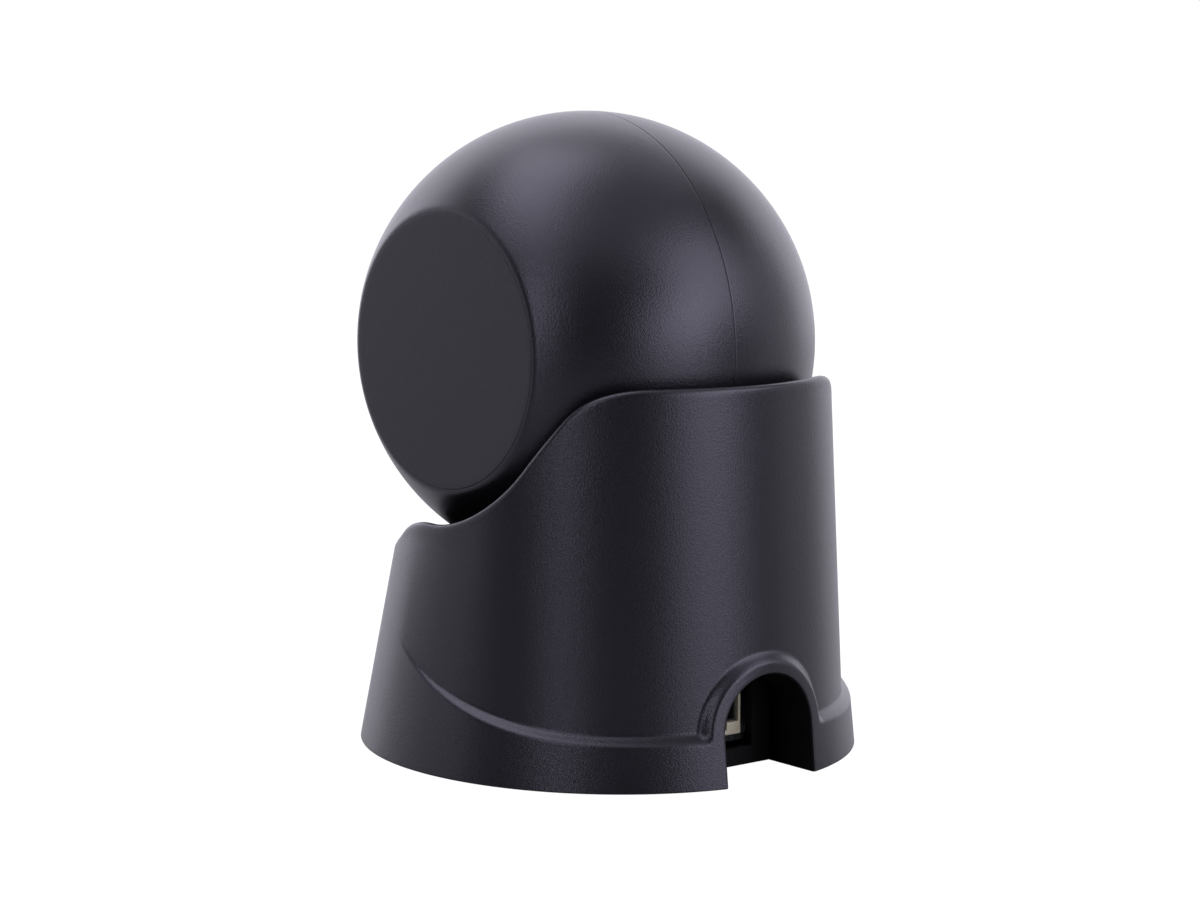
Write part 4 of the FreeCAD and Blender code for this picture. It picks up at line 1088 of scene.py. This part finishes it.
def make_world():
    world = bpy.data.worlds.new("studio")
    bpy.context.scene.world = world
    world.use_nodes = True
    tree = world.node_tree
    seen = add(tree, "ShaderNodeLightPath")
    either = add(tree, "ShaderNodeMath",
                 {0: seen.outputs["Is Camera Ray"], 1: seen.outputs["Is Transmission Ray"]},
                 operation="MAXIMUM")
    level = add(tree, "ShaderNodeMapRange", {0: either.outputs[0], 3: 0.04, 4: 1.0})
    background = tree.nodes["Background"]
    background.inputs["Color"].default_value = (1, 1, 1, 1)
    tree.links.new(level.outputs[0], background.inputs["Strength"])


def make_camera():
    size = settings("stage")
    right = Vector((math.cos(size.azimuth), math.sin(size.azimuth), 0))
    back = Vector((
        math.sin(size.azimuth) * math.cos(size.elevation),
        -math.cos(size.azimuth) * math.cos(size.elevation),
        math.sin(size.elevation),
    ))
    aim = Vector((0, 0, size.aim_height)) + right * size.aim_right
    data = bpy.data.cameras.new("camera")
    data.lens = size.lens
    data.sensor_width = 36.0
    camera = bpy.data.objects.new("camera", data)
    camera.location = aim + back * size.distance
    camera.rotation_euler = (-back).to_track_quat("-Z", "Y").to_euler()
    bpy.context.scene.collection.objects.link(camera)
    bpy.context.scene.camera = camera
    return right, back, aim


def make_lights(right, back, aim):
    """Softboxes, each at a turn to the camera's right and a rise, both in degrees."""
    up = Vector((0, 0, 1))

    def panel(name, side, rise, distance, size, glow):
        side, rise = math.radians(side), math.radians(rise)
        place = (
            aim + right * (distance * math.sin(side) * math.cos(rise))
            + back * (distance * math.cos(side) * math.cos(rise))
            + up * (distance * math.sin(rise))
        )
        data = bpy.data.lights.new(name, "AREA")
        data.shape = "RECTANGLE"
        data.size, data.size_y = size
        data.energy = math.pi * size[0] * size[1] * glow
        data.color = (0.91, 0.90, 1.0)
        light = bpy.data.objects.new(name, data)
        light.location = place
        light.rotation_euler = (aim - place).to_track_quat("-Z", "Y").to_euler()
        light.visible_camera = False
        bpy.context.scene.collection.objects.link(light)

    panel("softbox_right", 67, 27, 1.2, (0.85, 0.80), 2.6)
    panel("softbox_low", 47, 5, 1.2, (0.74, 0.50), 2.9)
    panel("ceiling", 90, 88, 1.3, (2.8, 2.0), 0.54)
    panel("overhead", -116, 74, 1.2, (0.75, 0.62), 2.3)
    panel("softbox_left", -50, 57, 1.2, (0.70, 0.60), 1.6)
    panel("strip_left", -27, 14, 1.2, (0.18, 0.90), 4.9)
    panel("strip_side", -80, 12, 1.2, (0.22, 1.0), 1.8)
    panel("side_left", -118, 16, 1.3, (1.1, 1.5), 0.95)
    panel("side_right", 112, 9, 1.3, (1.2, 1.2), 0.75)
    panel("behind", 180, 16, 1.5, (3.2, 2.2), 1.5)
    panel("top", 180, 60, 1.4, (1.6, 1.0), 0.35)


# --- operators


class Undoable:
    bl_options = {"REGISTER", "UNDO"}


class SCANNER_OT_finishes(Undoable, bpy.types.Operator):
    """Make the finishes and give the carried pieces theirs"""
    bl_idname = "scanner.finishes"
    bl_label = "Finishes"

    def execute(self, context):
        FINISH.update(make_finishes())
        for name, nodes in NODE_FINISHES.items():
            for node in nodes:
                mesh = frame["nodes"][node].data
                mesh.materials.clear()
                mesh.materials.append(FINISH[name])
        return {"FINISHED"}


class SCANNER_OT_cradle(Undoable, bpy.types.Operator):
    """Make the cradle base moulding"""
    bl_idname = "scanner.cradle"
    bl_label = "Cradle"

    def execute(self, context):
        make_cradle()
        return {"FINISHED"}


class SCANNER_OT_ball(Undoable, bpy.types.Operator):
    """Make the half shells of the ball, the tongue between them and the side covers"""
    bl_idname = "scanner.ball"
    bl_label = "Ball head"

    def execute(self, context):
        tree = ball_tree()
        for side, word in ((-1, "left"), (1, "right")):
            make_half_shell(tree, side, "ball_half_" + word, word + "_shell")
            make_cover(side, "disc_cover_" + word, word + "_cover")
        make_seam_tongue()
        return {"FINISHED"}


class SCANNER_OT_front(Undoable, bpy.types.Operator):
    """Make the window's bezel"""
    bl_idname = "scanner.front"
    bl_label = "Window bezel"

    def execute(self, context):
        make_bezel()
        return {"FINISHED"}


class SCANNER_OT_socket(Undoable, bpy.types.Operator):
    """Make the interface socket and its contacts"""
    bl_idname = "scanner.socket"
    bl_label = "Interface socket"

    def execute(self, context):
        make_socket()
        make_contacts()
        return {"FINISHED"}


class SCANNER_OT_stage(Undoable, bpy.types.Operator):
    """Set the floor, the lights and the camera"""
    bl_idname = "scanner.stage"
    bl_label = "Stage"

    def execute(self, context):
        make_floor()
        make_world()
        make_lights(*make_camera())
        bpy.context.scene.view_settings.view_transform = "Standard"
        return {"FINISHED"}


PIECE_OPERATORS = (
    SCANNER_OT_finishes, SCANNER_OT_cradle, SCANNER_OT_ball, SCANNER_OT_front,
    SCANNER_OT_socket, SCANNER_OT_stage,
)
SETTINGS = {
    "cradle": CradleSettings,
    "ball": BallSettings,
    "finish": FinishSettings,
    "stage": StageSettings,
}


class SCANNER_PT_pieces(bpy.types.Panel):
    """Lists the scanner's settings and the operators that make its pieces"""
    bl_label = "Scanner"
    bl_idname = "SCANNER_PT_pieces"
    bl_space_type = "VIEW_3D"
    bl_region_type = "UI"
    bl_category = "Scanner"

    def draw(self, context):
        for operator in PIECE_OPERATORS:
            self.layout.operator(operator.bl_idname)
        for kind in SETTINGS:
            group = getattr(context.scene, "scanner_" + kind)
            column = self.layout.column(heading=kind.capitalize())
            for key in group.__annotations__:
                column.prop(group, key)


def register():
    for kind, group in SETTINGS.items():
        bpy.utils.register_class(group)
        setattr(bpy.types.Scene, "scanner_" + kind, bpy.props.PointerProperty(type=group))
    for item in (*PIECE_OPERATORS, SCANNER_PT_pieces):
        bpy.utils.register_class(item)


def unregister():
    for item in reversed((*PIECE_OPERATORS, SCANNER_PT_pieces)):
        bpy.utils.unregister_class(item)
    for kind, group in SETTINGS.items():
        delattr(bpy.types.Scene, "scanner_" + kind)
        bpy.utils.unregister_class(group)


def main():
    register()
    for operator in PIECE_OPERATORS:
        family, name = operator.bl_idname.split(".")
        getattr(getattr(bpy.ops, family), name)()


if __name__ == "__main__":
    main()
